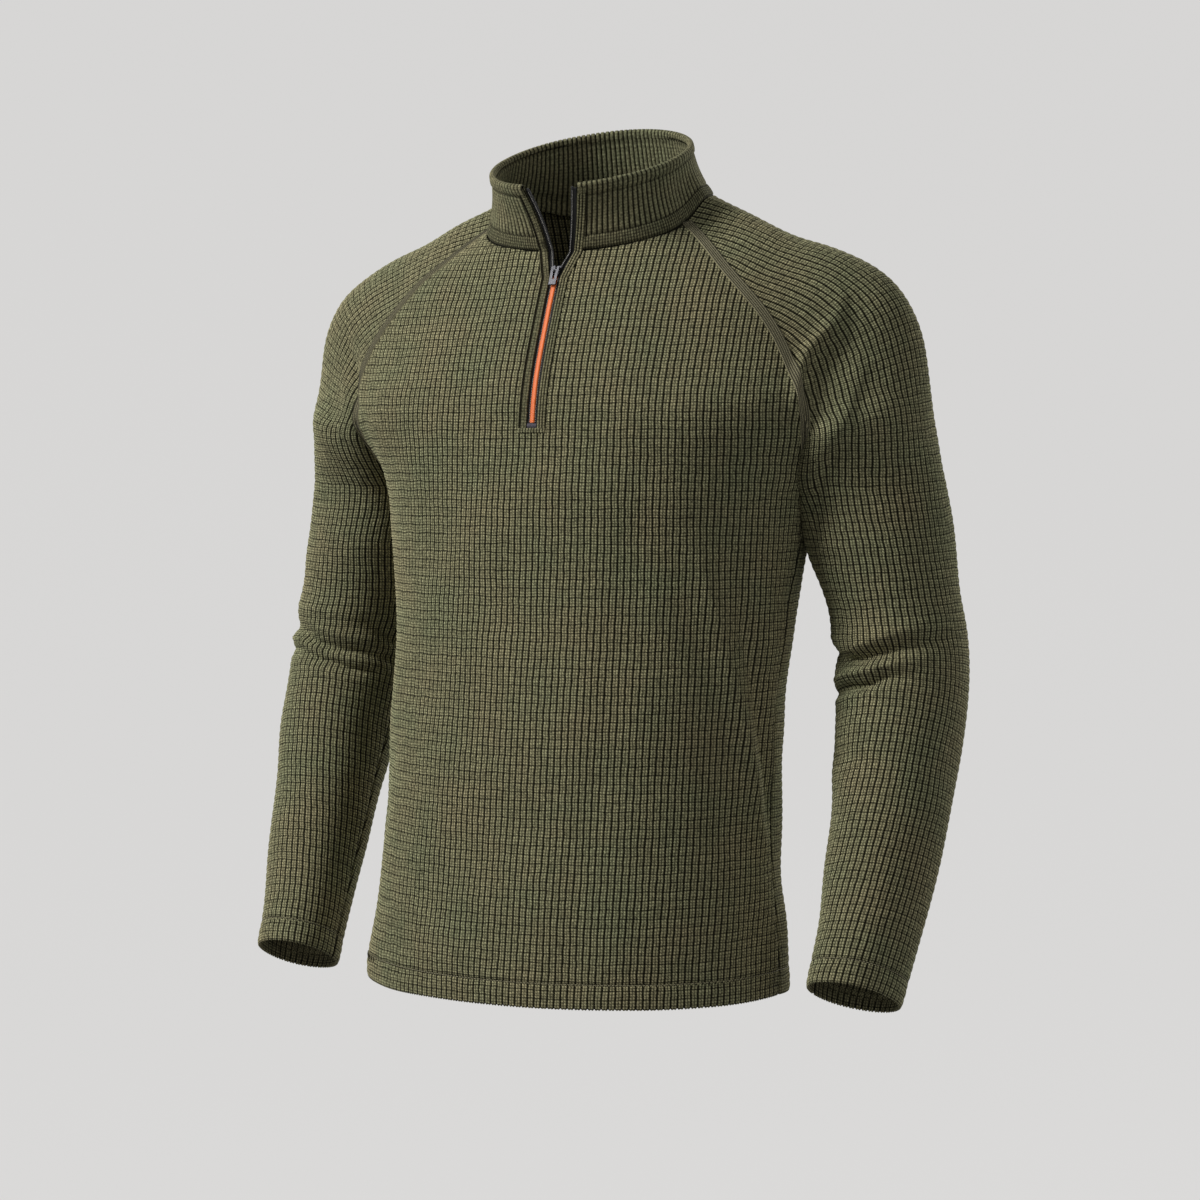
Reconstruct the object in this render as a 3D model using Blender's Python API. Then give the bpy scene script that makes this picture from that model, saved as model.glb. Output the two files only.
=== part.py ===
"""A quarter-zip knit top with raglan sleeves and a stand collar, in its worn form.

Metres, +Z up. The origin lies on the body's axis at the level where the neck seam meets
the shoulder. +X is the wearer's left and the front faces -Y. Every cloth piece is a wall
whose outer face is the garment's outside; pieces stop half a seam gap short of the seam
line that they share.
"""

import math

import bmesh
import bpy
import numpy as np
from mathutils import Matrix, Vector

MM = 0.001

# Cloth
WALL = 1.8 * MM
HEM_WALL = 3.0 * MM  # the turned-up hem and cuffs are two layers
HEM_DEPTH = 20.0 * MM
COLLAR_WALL = 3.0 * MM
SEAM_GAP = 0.6 * MM

# Levels down the body
NECK_FRONT_Z = -0.052  # neck seam at centre front
NECK_BACK_Z = -0.006
UNDERARM_Z = -0.255
HEM_Z = -0.690  # at centre front and centre back
HEM_SIDE_RISE = 0.005

# Zip, measured along the centre front and out from the cloth's outer face
SLIT_HALF = 5.2 * MM  # half the width that shows between the turned edges
OPEN_FROM_Z = -0.0745
OPEN_SLOPE = 0.34  # how fast each open edge moves aside above that
TAPE_SHOWN = 4.6 * MM  # each tape's width inside the opening
TAPE_HIDDEN = 7.5 * MM  # and behind the cloth that it is sewn to
TAPE_THICK = 0.7 * MM
TAPE_BELOW = 6.0 * MM  # past the slit's lower end
TAPE_TOP = 0.985  # how far up the collar it runs
CLEAR = 0.3 * MM
CHAIN_WIDE = 4.4 * MM
CHAIN_THICK = 1.4 * MM
CHAIN_TOP_Z = -0.0712
COIL_WIDE = 2.0 * MM  # one half of the chain, where it is open
COIL_FROM_Z = -0.0695
COIL_REACH = 0.5 * MM  # past its tape's edge
STOP_TALL = 4.0 * MM
STOP_WIDE = 9.2 * MM
STOP_THICK = 1.2 * MM

# Slider and pull tab, in the slider's own axes: across, up the zip, and outward
SLIDER_Z = -0.0695
PLATE_TALL = 10.0 * MM
PLATE_TOP_WIDE = 10.0 * MM
PLATE_FOOT_WIDE = 6.8 * MM
PLATE_CORNER = 1.2 * MM
PLATE_THICK = 1.0 * MM
POST_WIDE = 2.0 * MM
POST_TALL = 3.7 * MM
CROWN_LONG = 6.4 * MM
CROWN_WIDE = 1.6 * MM
CROWN_LEG = 0.9 * MM
CROWN_INSIDE = 1.9 * MM
CROWN_TOP = 0.8 * MM
PULL_LONG = 17.5 * MM
PULL_TOP_WIDE = 8.0 * MM
PULL_FOOT_WIDE = 6.8 * MM
PULL_CORNER = 0.9 * MM
PULL_THICK = 1.0 * MM
PULL_BAR = 1.0 * MM  # the bar that lies under the crown
PULL_SLOT_WIDE = 3.0 * MM
PULL_SLOT_FOOT = 1.6 * MM
PULL_SLOT_LONG = 11.0 * MM

SLIDER_EDGE = 0.15 * MM
PULL_EDGE = 0.2 * MM

# Looks: sRGB colour, roughness and metallic value
KNIT = ("#626048", 0.95, 0.0)
TAPE = ("#161616", 0.80, 0.0)
CHAIN = ("#FF7A3C", 0.50, 0.0)
COIL = ("#2A2A2C", 0.50, 0.0)
STOP = ("#4B464E", 0.60, 0.0)
METAL = ("#7C7B7C", 0.35, 1.0)

# Grid of the cloth solids
YOKE_ROWS = 12  # neck to underarm
SLIT_ROWS = 9  # of them, beside the zip
SLIT_BOTTOM_Z = NECK_FRONT_Z + (UNDERARM_Z - NECK_FRONT_Z) * SLIT_ROWS / YOKE_ROWS
BODY_ROWS = 13  # underarm to hem
HALF_COLUMNS = 8  # slit edge to raglan or side seam
SLEEVE_COLUMNS = 18
COLLAR_COLUMNS = 34
COLLAR_ROWS = 5


def second_derivatives(keys, values):
    """Those of the natural cubic spline through the values."""
    count = len(keys)
    step = np.diff(keys)
    matrix = np.eye(count)
    right = np.zeros(count)
    for i in range(1, count - 1):
        matrix[i, i - 1 : i + 2] = step[i - 1], 2 * (step[i - 1] + step[i]), step[i]
        rise = np.diff(values[i - 1 : i + 2]) / step[i - 1 : i + 1]
        right[i] = 6 * (rise[1] - rise[0])
    return np.linalg.solve(matrix, right)


class Table:
    """Rows of named columns, read between its rows by a natural cubic spline on the first column."""

    def __init__(self, names, *rows):
        self.rows = sorted(rows)
        columns = np.array(self.rows, float).T
        self.keys = columns[0]
        self.columns = {
            name: (values, second_derivatives(self.keys, values))
            for name, values in zip(names.split(), columns)
        }

    def at(self, name, where):
        values, bends = self.columns[name]
        where = np.clip(where, self.keys[0], self.keys[-1])
        i = np.clip(np.searchsorted(self.keys, where) - 1, 0, len(self.keys) - 2)
        step = self.keys[i + 1] - self.keys[i]
        b = (where - self.keys[i]) / step
        a = 1 - b
        curve = (a**3 - a) * bends[i] + (b**3 - b) * bends[i + 1]
        return a * values[i] + b * values[i + 1] + curve * step**2 / 6

    def point(self, prefix, where):
        return np.stack([self.at(prefix + axis, where) for axis in "xyz"], axis=-1)


# Level sections of the body are parts of ellipses. Their centre front and centre back:
CENTRE = Table(
    "level    front    back",
    (+0.000, -0.0235, 0.1150),
    (-0.040, -0.0415, 0.1255),
    (-0.085, -0.0620, 0.1350),
    (-0.130, -0.0810, 0.1415),
    (-0.175, -0.0960, 0.1450),
    (-0.215, -0.1015, 0.1460),
    (-0.255, -0.1065, 0.1460),
    (-0.310, -0.1100, 0.1435),
    (-0.365, -0.1140, 0.1400),
    (-0.442, -0.1230, 0.1280),
    (-0.518, -0.1320, 0.1180),
    (-0.583, -0.1400, 0.1145),
    (-0.657, -0.1500, 0.1140),
    (-0.690, -0.1530, 0.1150),
)
# Their widest point, where the side seam runs from the underarm down:
SIDE = Table(
    "level    x       y",
    (-0.180, 0.2380, +0.0235),
    (-0.215, 0.2185, +0.0235),
    (-0.255, 0.2010, +0.0240),
    (-0.285, 0.1955, +0.0260),
    (-0.316, 0.1925, +0.0250),
    (-0.365, 0.1880, +0.0165),
    (-0.442, 0.1840, +0.0020),
    (-0.518, 0.1835, -0.0070),
    (-0.583, 0.1870, -0.0130),
    (-0.657, 0.1945, -0.0180),
    (-0.690, 0.1967, -0.0190),
)
# Above the underarm the widest point is inside the sleeve, and a section ends at the raglan
# seam once it has turned so many degrees from the centre line:
YOKE = {
    "front": Table(
        "level    x       y       turn",
        (-0.025, 0.1253, 0.0770, 50),
        (-0.065, 0.1995, 0.0645, 45),
        (-0.100, 0.2415, 0.0650, 47),
        (-0.131, 0.2510, 0.0570, 52.5),
        (-0.159, 0.2470, 0.0405, 59),
        (-0.182, 0.2392, 0.0225, 66),
        (-0.220, 0.2196, 0.0219, 77),
        (-0.255, 0.2010, 0.0240, 90),
    ),
    "back": Table(
        "level    x       y       turn",
        (+0.000, 0.1144, 0.0092, 48),
        (-0.040, 0.1686, 0.0289, 46),
        (-0.085, 0.2045, 0.0383, 48),
        (-0.130, 0.2175, 0.0457, 54),
        (-0.175, 0.2165, 0.0413, 62),
        (-0.215, 0.2085, 0.0290, 72),
        (-0.255, 0.2010, 0.0240, 90),
    ),
}
YOKE_BLEND = 0.05  # over this height above the underarm the sections take up the yoke's table

# The left sleeve: its overarm line, and from the neck to the underarm the levels at which
# the same round of cloth meets the two raglan seams.
SHOULDER = Table(
    "along  over_x  over_y  over_z  front_z  back_z",
    (0.000, 0.1040, 0.0340, -0.0030, -0.025, 0.000),
    (0.046, 0.1470, 0.0380, -0.0205, -0.062, -0.037),
    (0.091, 0.1885, 0.0410, -0.0405, -0.091, -0.070),
    (0.132, 0.2285, 0.0450, -0.0550, -0.115, -0.095),
    (0.169, 0.2620, 0.0480, -0.0755, -0.137, -0.118),
    (0.207, 0.2855, 0.0510, -0.1065, -0.158, -0.141),
    (0.243, 0.2955, 0.0540, -0.1420, -0.178, -0.163),
    (0.284, 0.3000, 0.0570, -0.1840, -0.203, -0.192),
    (0.325, 0.3045, 0.0600, -0.2250, -0.232, -0.226),
    (0.350, 0.3080, 0.0615, -0.2500, -0.255, -0.255),
)
# From the underarm to the cuff: the overarm and underarm lines, how deep the front and the
# back half of the sleeve are beside a true round, and how far its front turns inward.
ARM = Table(
    "along  over_x  over_y  over_z  under_x  under_y  under_z  front_depth  back_depth  twist",
    (0.350, 0.3080, 0.0615, -0.2500, 0.2016, 0.0240, -0.2550, 0.78, 1.25, 0.00),
    (0.398, 0.3145, 0.0650, -0.2980, 0.1960, 0.0480, -0.3010, 0.90, 1.08, 0.00),
    (0.453, 0.3230, 0.0665, -0.3520, 0.2070, 0.0655, -0.3580, 0.97, 1.02, 0.00),
    (0.495, 0.3290, 0.0660, -0.3940, 0.2155, 0.0650, -0.3980, 1.00, 1.00, 0.00),
    (0.538, 0.3315, 0.0580, -0.4350, 0.2205, 0.0570, -0.4380, 1.00, 1.00, 0.01),
    (0.582, 0.3315, 0.0430, -0.4770, 0.2250, 0.0420, -0.4800, 1.00, 1.00, 0.03),
    (0.675, 0.3255, 0.0115, -0.5650, 0.2325, 0.0105, -0.5660, 1.00, 1.00, 0.08),
    (0.756, 0.3160, -0.0210, -0.6400, 0.2355, -0.0210, -0.6400, 1.08, 1.08, 0.12),
    (0.799, 0.3110, -0.0395, -0.6790, 0.2350, -0.0395, -0.6790, 1.15, 1.15, 0.14),
)
OVERARM = Table("along x y z", *[row[:4] for row in SHOULDER.rows + ARM.rows[1:]])
UNDERARM_ALONG = ARM.keys[0]
CUFF_ALONG = ARM.keys[-1]
CREASE_FROM = 0.21  # above this the cloth runs smoothly over the raglan seam

# Elbow creases of a sleeve: where each crosses the inner side, and how it fades round it.
ELBOW_CREASES = Table("along depth width", (0.489, 5.0 * MM, 9.0 * MM), (0.524, 5.5 * MM, 9.0 * MM))

# Collar, from the neck seam to its rolled top edge
COLLAR_TOP_Y = 0.012
COLLAR_TOP_HALF_WIDTH = 0.090
COLLAR_TOP_HALF_DEPTH = 0.083
COLLAR_TOP_RISE = 0.062  # how much higher the top edge is at the back than at the front
COLLAR_TIP_X = 0.0265


def unit(vectors):
    return vectors / np.linalg.norm(vectors, axis=-1, keepdims=True)


def ease(value):
    """0 to 1, level at both ends."""
    value = np.clip(value, 0.0, 1.0)
    return value * value * (3 - 2 * value)


def section(side, level):
    """Half width, centre line, depth and turn at the edge of a panel's section."""
    level = np.asarray(level, float)
    yoke = YOKE[side]
    own = ease((level - UNDERARM_Z) / YOKE_BLEND)
    half_width = SIDE.at("x", level) * (1 - own) + yoke.at("x", level) * own
    widest_y = SIDE.at("y", level) * (1 - own) + yoke.at("y", level) * own
    centre = CENTRE.at(side, level)
    turn = np.where(level > UNDERARM_Z, yoke.at("turn", level), 90.0)
    return half_width, centre, widest_y - centre, np.radians(turn)


def panel_point(side, across, level):
    """A point of the front or back: across runs from -1 at the right edge to 1 at the left."""
    half_width, centre, depth, turn = section(side, level)
    x = half_width * np.sin(across * turn)
    y = centre + depth * (1 - np.cos(across * turn))
    return np.stack([x, y, level + 0 * x], axis=-1)


def slit_half(level):
    """Half the gap between the zip's two turned edges."""
    return SLIT_HALF + OPEN_SLOPE * np.maximum(0.0, level - OPEN_FROM_Z)


def across_of(side, x, level):
    half_width, _, _, turn = section(side, level)
    return np.arcsin(x / half_width) / turn


def arc(start, leaving, end, arriving, depth, count):
    """A cubic that is a circle's arc where the ends allow one, deeper or flatter by depth."""
    chord = np.linalg.norm(end - start)
    angle = math.acos(float(np.clip(leaving @ arriving, -1, 1)))
    reach = chord / 3
    if angle > 1e-3:
        reach = 2 / 3 * chord * math.tan(angle / 4) / math.sin(angle / 2)
    a, b = start + leaving * reach * depth, end - arriving * reach * depth
    t = np.linspace(0, 1, count)[:, None]
    return (1 - t) ** 3 * start + 3 * t * (1 - t) ** 2 * a + 3 * t * t * (1 - t) * b + t**3 * end


def overarm_direction(along):
    ahead, behind = min(along + 0.004, CUFF_ALONG), max(along - 0.004, 0.0)
    return unit(OVERARM.point("", ahead) - OVERARM.point("", behind))


def seam_start(side, level, over):
    """The raglan seam's point at a level, and the way the panel's cloth runs on from it."""
    point = panel_point(side, 1.0, level)
    below = panel_point(side, 1.0, min(level + 0.003, YOKE[side].keys[-1]))
    above = panel_point(side, 1.0, level - 0.003)
    inside = panel_point(side, 0.97, level)
    normal = unit(np.cross(below - above, point - inside))
    towards = over - point
    return point, unit(towards - normal * (towards @ normal))


def sleeve_round(along, count):
    """One round of the left sleeve from its front edge over the top to its back edge."""
    over = OVERARM.point("", along)
    direction = overarm_direction(along)
    forward = np.array([0.0, -1.0, 0.0])
    forward = unit(forward - direction * (forward @ direction))
    halves = []
    for side, turn in (("front", forward), ("back", -forward)):
        if along < UNDERARM_ALONG - 1e-6:
            start, smooth = seam_start(side, float(SHOULDER.at(side + "_z", along)), over)
            crease = ease((along - CREASE_FROM) / (UNDERARM_ALONG - CREASE_FROM))
            outward = turn + np.array([0.25, 0.0, 0.0])
            leaving = unit(smooth * (1 - crease) + outward * crease)
        else:
            start = ARM.point("under_", along)
            away = 0.25 * ease(1 - (along - UNDERARM_ALONG) / 0.06)
            leaving = unit(turn + np.array([away, 0.0, 0.0]))
            inward = float(ARM.at("twist", along)) * (1 if side == "front" else -1)
            turn = unit(turn - np.array([inward, 0.0, 0.0]))
            leaving = unit(leaving - np.array([inward, 0.0, 0.0]))
        fade = ease((along - 0.20) / (UNDERARM_ALONG - 0.20))
        scale = 1 + (float(ARM.at(side + "_depth", along)) - 1) * fade
        halves.append(arc(start, leaving, over, -turn, scale, count))
    return np.concatenate([halves[0], halves[1][-2::-1]])


def resample(line, places):
    """Points of a line at distances from its start."""
    gone = np.concatenate([[0], np.cumsum(np.linalg.norm(np.diff(line, axis=0), axis=1))])
    return np.stack([np.interp(places, gone, line[:, axis]) for axis in range(3)], axis=-1)


def length_of(line):
    return float(np.linalg.norm(np.diff(line, axis=0), axis=1).sum())


def spread(line, places):
    """The line's points at the places, and the line's directions there."""
    step = 0.4 * MM
    ahead = resample(line, np.minimum(places + step, length_of(line)))
    behind = resample(line, np.maximum(places - step, 0))
    return resample(line, places), unit(ahead - behind)


def evenly(line, count, inset):
    """count points spread evenly over a line, which is first cut back at both ends."""
    return spread(line, np.linspace(inset, length_of(line) - inset, count))


def grid_normals(grid, across):
    """Normals of a grid of points whose rows run along across."""
    return unit(np.cross(np.gradient(grid, axis=0), across))


def finish(name, colour, roughness, metallic):
    """A plain material from an sRGB hex colour."""
    material = bpy.data.materials.new(name)
    material.use_nodes = True
    shader = material.node_tree.nodes["Principled BSDF"]
    parts = [int(colour[k : k + 2], 16) / 255 for k in (1, 3, 5)]
    linear = [c / 12.92 if c <= 0.04045 else ((c + 0.055) / 1.055) ** 2.4 for c in parts]
    shader.inputs["Base Color"].default_value = (*linear, 1.0)
    shader.inputs["Roughness"].default_value = roughness
    shader.inputs["Metallic"].default_value = metallic
    return material


def make_object(name, bm, look):
    bmesh.ops.recalc_face_normals(bm, faces=bm.faces)
    mesh = bpy.data.meshes.new(name)
    bm.to_mesh(mesh)
    bm.free()
    mesh.materials.append(finish(name, *look))
    mesh.shade_smooth()
    mesh.set_sharp_from_angle(angle=math.radians(40))
    thing = bpy.data.objects.new(name, mesh)
    bpy.context.scene.collection.objects.link(thing)
    return thing


def wall_from_grid(name, outer, across, thick, look, merged_from=None, missing=()):
    """A closed wall: the grid is its outer face, whose rows run along across, and thick is
    its thickness for each row. From the row merged_from on, the first and last columns are
    one. missing lists the cells (row, column) that are left open."""
    rows, columns = outer.shape[:2]
    normals = grid_normals(outer, across)
    if merged_from is not None:
        shared = unit(normals[merged_from:, 0] + normals[merged_from:, -1])
        normals[merged_from:, 0] = normals[merged_from:, -1] = shared
    inner = outer - normals * thick[:, None, None]
    bm = bmesh.new()
    layers = []
    for grid in (outer, inner):
        layer = [[bm.verts.new(point) for point in row] for row in grid]
        if merged_from is not None:
            for i in range(merged_from, rows):
                bm.verts.remove(layer[i][-1])
                layer[i][-1] = layer[i][0]
        layers.append(layer)
    cells = {(i, j) for i in range(rows - 1) for j in range(columns - 1)} - set(missing)
    rims = {}
    for i, j in cells:
        corners = (i, j), (i, j + 1), (i + 1, j + 1), (i + 1, j)
        diagonals = [np.linalg.norm(outer[corners[k]] - outer[corners[k + 2]]) for k in (0, 1)]
        turned = corners if diagonals[0] <= diagonals[1] else corners[1:] + corners[:1]
        for triangle in (turned[:3], (turned[2], turned[3], turned[0])):
            bm.faces.new([layers[0][r][c] for r, c in triangle])
            bm.faces.new([layers[1][r][c] for r, c in reversed(triangle)])
        for a, b in zip(corners, corners[1:] + corners[:1]):
            ends = layers[0][a[0]][a[1]], layers[0][b[0]][b[1]]
            if frozenset(ends) in rims:
                del rims[frozenset(ends)]
            else:
                rims[frozenset(ends)] = (a, b)
    for a, b in rims.values():
        bm.faces.new([layers[k][r][c] for k, (r, c) in ((0, b), (0, a), (1, a), (1, b))])
    loose = [vertex for vertex in bm.verts if not vertex.link_faces]
    bmesh.ops.delete(bm, geom=loose, context="VERTS")
    return make_object(name, bm, look)


def wall_thickness(distances_to_hem):
    return np.where(distances_to_hem < HEM_DEPTH + 1e-6, HEM_WALL, WALL)


def body_levels(top_centre, top_edge_levels):
    """Levels at the centre line and at the panel's edge, from the neck seam to the hem."""
    yoke_centre = np.linspace(top_centre, UNDERARM_Z, YOKE_ROWS + 1)
    lower = np.linspace(UNDERARM_Z, HEM_Z + HEM_DEPTH, BODY_ROWS)[1:]
    lower = np.append(lower, HEM_Z)
    rise = HEM_SIDE_RISE * ease((UNDERARM_Z - lower) / (UNDERARM_Z - HEM_Z))
    return np.append(yoke_centre, lower), np.append(top_edge_levels, lower + rise)


def yoke_stations():
    return np.linspace(0, UNDERARM_ALONG, YOKE_ROWS + 1)


def panel_grid(side, top_centre, has_slit):
    edge_levels = SHOULDER.at(side + "_z", yoke_stations())
    centre_levels, edge_levels = body_levels(top_centre, edge_levels)
    rows = []
    for centre, edge in zip(centre_levels, edge_levels):
        full = np.linspace(-1, 1, 161)
        line = panel_point(side, full, centre + (edge - centre) * full**2)
        total = length_of(line)
        start = slit_half(centre) if has_slit else 0.5 * total / (2 * HALF_COLUMNS + 1)
        half = np.linspace(start, total / 2 - SEAM_GAP / 2, HALF_COLUMNS + 1)
        places = total / 2 + np.concatenate([-half[::-1], half])
        rows.append(spread(line, places))
    grid, across = np.swapaxes(np.array(rows), 0, 1)
    return grid, across, wall_thickness(centre_levels - HEM_Z)


def make_front():
    grid, across, thick = panel_grid("front", NECK_FRONT_Z, True)
    slit = [(row, HALF_COLUMNS) for row in range(SLIT_ROWS)]
    return wall_from_grid("front", grid, across, thick, KNIT, missing=slit)


def make_back():
    grid, across, thick = panel_grid("back", NECK_BACK_Z, False)
    return wall_from_grid("back", grid[:, ::-1], -across[:, ::-1], thick, KNIT)


def sleeve_stations():
    arm = np.concatenate(
        [
            np.linspace(UNDERARM_ALONG, 0.475, 6)[1:],
            np.linspace(0.475, 0.540, 8)[1:],
            np.linspace(0.540, CUFF_ALONG - HEM_DEPTH, 8)[1:],
            [CUFF_ALONG],
        ]
    )
    return np.concatenate([yoke_stations(), arm])


def crease_depth(along, place):
    """How far a crease sinks the sleeve; place runs 0 to 1 from the underarm line round the front."""
    total = np.zeros_like(place)
    inner = ease(1.25 - np.abs(np.mod(place + 0.42, 1.0) - 0.5) / 0.36)
    for centre, depth, width in ELBOW_CREASES.rows:
        total += depth * inner * math.exp(-(((along - centre) / width) ** 2))
    return total


def make_sleeve(name, side):
    rows = []
    for along in sleeve_stations():
        line = sleeve_round(along, 40)
        inset = SEAM_GAP / 2 if along < UNDERARM_ALONG - 1e-6 else 0.0
        rows.append(evenly(line, SLEEVE_COLUMNS + 1, inset))
    grid, across = np.swapaxes(np.array(rows), 0, 1)
    places = np.linspace(0, 1, SLEEVE_COLUMNS + 1)
    for row, along in enumerate(sleeve_stations()):
        if along > UNDERARM_ALONG:
            inward = unit(grid[row, :-1].mean(axis=0) - grid[row])
            grid[row] += inward * crease_depth(along, places)[:, None]
    if side < 0:
        grid, across = (grid * [-1, 1, 1])[:, ::-1], (across * [1, -1, -1])[:, ::-1]
    thick = wall_thickness(CUFF_ALONG - sleeve_stations())
    return wall_from_grid(name, grid, across, thick, KNIT, merged_from=YOKE_ROWS)


def neck_seam(count):
    """The left half of the neck seam, from the zip's edge to the centre back."""
    first = float(across_of("front", slit_half(NECK_FRONT_Z), NECK_FRONT_Z))
    across = np.linspace(first, 1, 40)
    top = YOKE["front"].keys[-1]
    front = panel_point("front", across, NECK_FRONT_Z + (top - NECK_FRONT_Z) * across**2)
    across = np.linspace(1, 0, 40)
    top = YOKE["back"].keys[-1]
    back = panel_point("back", across, NECK_BACK_Z + (top - NECK_BACK_Z) * across**2)
    line = np.concatenate([front, sleeve_round(0.0, 20)[1:], back[1:]])
    return evenly(line, count, 0.0)[0]


def collar_top(count):
    """The left half of the collar's top edge, from its front tip to the centre back."""
    turn = np.linspace(math.asin(COLLAR_TIP_X / COLLAR_TOP_HALF_WIDTH), math.pi, 200)
    line = np.stack(
        [
            COLLAR_TOP_HALF_WIDTH * np.sin(turn),
            COLLAR_TOP_Y - COLLAR_TOP_HALF_DEPTH * np.cos(turn),
            COLLAR_TOP_RISE * (1 - np.cos(turn)) / 2,
        ],
        axis=-1,
    )
    return evenly(line, count, 0.0)[0]


def collar_half(count, rows):
    """The left half of the collar: rows of points from the neck seam up to the top edge."""
    base, top = neck_seam(count), collar_top(count)
    lift = np.array([0, 0, 1.5 * SEAM_GAP])
    grid = []
    for up in np.linspace(0, 1, rows):
        belly = -0.0030 * math.sin(math.pi * up)
        point = base + lift + (top - base - lift) * up
        centre = np.array([0.0, 0.024, 0.0])
        away = (point - centre) * [1, 1, 0]
        grid.append(point + unit(away) * belly)
    return np.array(grid)


def make_collar():
    half = collar_half(COLLAR_COLUMNS // 2 + 1, COLLAR_ROWS)[::-1]
    grid = np.concatenate([half, (half * [-1, 1, 1])[:, -2::-1]], axis=1)
    thick = np.full(COLLAR_ROWS, COLLAR_WALL)
    return wall_from_grid("collar", grid, np.gradient(grid, axis=1), thick, KNIT)


def placket_levels():
    """Levels of the zip's stations up to the neck seam: those of the slit's rows that the
    closed chain passes, then the top of the chain and those of the open tapes."""
    slit = np.linspace(SLIT_BOTTOM_Z, NECK_FRONT_Z, SLIT_ROWS + 1)[:-2]
    slider_top = SLIDER_Z + PLATE_TALL / 2
    chain = np.append(slit, CHAIN_TOP_Z)
    return chain, np.array([COIL_FROM_Z, slider_top, (slider_top + NECK_FRONT_Z) / 2])


def column_at(grid, column, axis, places):
    """A grid's column, read at places along the axis."""
    line = grid[:, column] if grid[0, column, axis] < grid[-1, column, axis] else grid[::-1, column]
    return np.stack([np.interp(places, line[:, axis], line[:, k]) for k in range(3)], axis=-1)


def placket():
    """Stations up the left edge of the opening, on the cloth's own facets: the edge, the ways
    to the zip and away from it, the way out of the cloth, and the cloth's thickness."""
    levels = np.concatenate([[SLIT_BOTTOM_Z - TAPE_BELOW], *placket_levels()])
    front = panel_grid("front", NECK_FRONT_Z, True)[0][:, HALF_COLUMNS + 1 :]
    collar = collar_half(COLLAR_COLUMNS // 2 + 1, COLLAR_ROWS)
    rises = np.append(np.linspace(0, 1, COLLAR_ROWS)[:-1], TAPE_TOP)
    rises = collar[0, 0, 2] + rises * np.ptp(collar[:, 0, 2])
    edge, beside = [
        np.concatenate([column_at(front, column, 2, levels), column_at(collar, column, 2, rises)])
        for column in (0, 1)
    ]
    aside = unit(beside - edge)
    inner = panel_point("front", across_of("front", edge[: len(levels), 0] - TAPE_SHOWN, levels), levels)
    inward = np.concatenate([unit(inner - edge[: len(levels)]), -aside[len(levels) :]])
    outward = unit(np.cross(aside, np.gradient(edge, axis=0)))
    slider_top = SLIDER_Z + PLATE_TALL / 2
    into_collar = ease((edge[:, 2] - slider_top) / (NECK_FRONT_Z - 2 * MM - slider_top))
    return edge, inward, aside, outward, WALL + (COLLAR_WALL - WALL) * into_collar


def bar(name, corners, look):
    """A closed bar through rows of corners, which go round it."""
    bm = bmesh.new()
    rings = [[bm.verts.new(point) for point in row] for row in corners]
    count = len(rings[0])
    for a, b in zip(rings, rings[1:]):
        for k in range(count):
            bm.faces.new([a[k], a[(k + 1) % count], b[(k + 1) % count], b[k]])
    bm.faces.new(rings[0])
    bm.faces.new(rings[-1][::-1])
    return make_object(name, bm, look)


def make_beside_opening(name, side, reaches, behind, thick, first, look):
    """A strip through the reaches from the opening's edge, so far behind the cloth's inner face."""
    edge, inward, aside, outward, wall = placket()
    across = [edge + (aside if reach > 0 else -inward) * reach for reach in reaches]
    front = [point - outward * (wall + behind)[:, None] for point in across]
    back = [point - outward * (wall + behind + thick)[:, None] for point in across]
    corners = np.swapaxes(np.array(front + back[::-1]), 0, 1)[first:]
    return bar(name, corners * [side, 1, 1], look)


def make_tape(name, side):
    reaches = -TAPE_SHOWN, 0.0, TAPE_HIDDEN
    return make_beside_opening(name, side, reaches, CLEAR, TAPE_THICK, 0, TAPE)


def make_coil(name, side):
    inner = -TAPE_SHOWN - COIL_REACH
    first = 1 + len(placket_levels()[0])
    return make_beside_opening(name, side, (inner, inner + COIL_WIDE), -CHAIN_THICK, CHAIN_THICK, first, COIL)


def centre_frame(level):
    """The centre line's point at a level, and the way up and out of the cloth there."""
    point = panel_point("front", 0.0, level)
    up = unit(panel_point("front", 0.0, level + MM) - panel_point("front", 0.0, level - MM))
    return point, up, np.cross([1.0, 0.0, 0.0], up)


def make_on_tapes(name, levels, half_width, thick, look):
    """A bar over the middle of the closed tapes, its back level with the cloth's."""
    corners = []
    for level in levels:
        point, _, out = centre_frame(level)
        back = point - out * WALL
        left, right = back + [half_width, 0, 0], back - [half_width, 0, 0]
        corners.append([right + out * thick, left + out * thick, left, right])
    return bar(name, corners, look)


def make_chain():
    foot = SLIT_BOTTOM_Z + 2 * CLEAR + STOP_TALL
    levels = np.append(foot, placket_levels()[0][1:])
    return make_on_tapes("zip_chain", levels, CHAIN_WIDE / 2, CHAIN_THICK, CHAIN)


def make_bottom_stop():
    foot = SLIT_BOTTOM_Z + CLEAR
    return make_on_tapes("zip_bottom_stop", (foot, foot + STOP_TALL), STOP_WIDE / 2, STOP_THICK, STOP)


def prism(name, outline, plane, low, high, look=None):
    """An outline in two of the slider's axes, drawn out from low to high along the third."""
    third = ({0, 1, 2} - set(plane)).pop()
    frame = slider_frame()
    bm = bmesh.new()
    ends = []
    for reach in (low, high):
        end = []
        for a, b in outline:
            local = Vector()
            local[plane[0]], local[plane[1]], local[third] = a, b, reach
            end.append(bm.verts.new(frame @ local))
        ends.append(end)
    bm.faces.new(ends[0])
    bm.faces.new(ends[1][::-1])
    count = len(outline)
    for k in range(count):
        bm.faces.new([ends[0][k], ends[0][(k + 1) % count], ends[1][(k + 1) % count], ends[1][k]])
    return make_object(name, bm, look or METAL)


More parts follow.
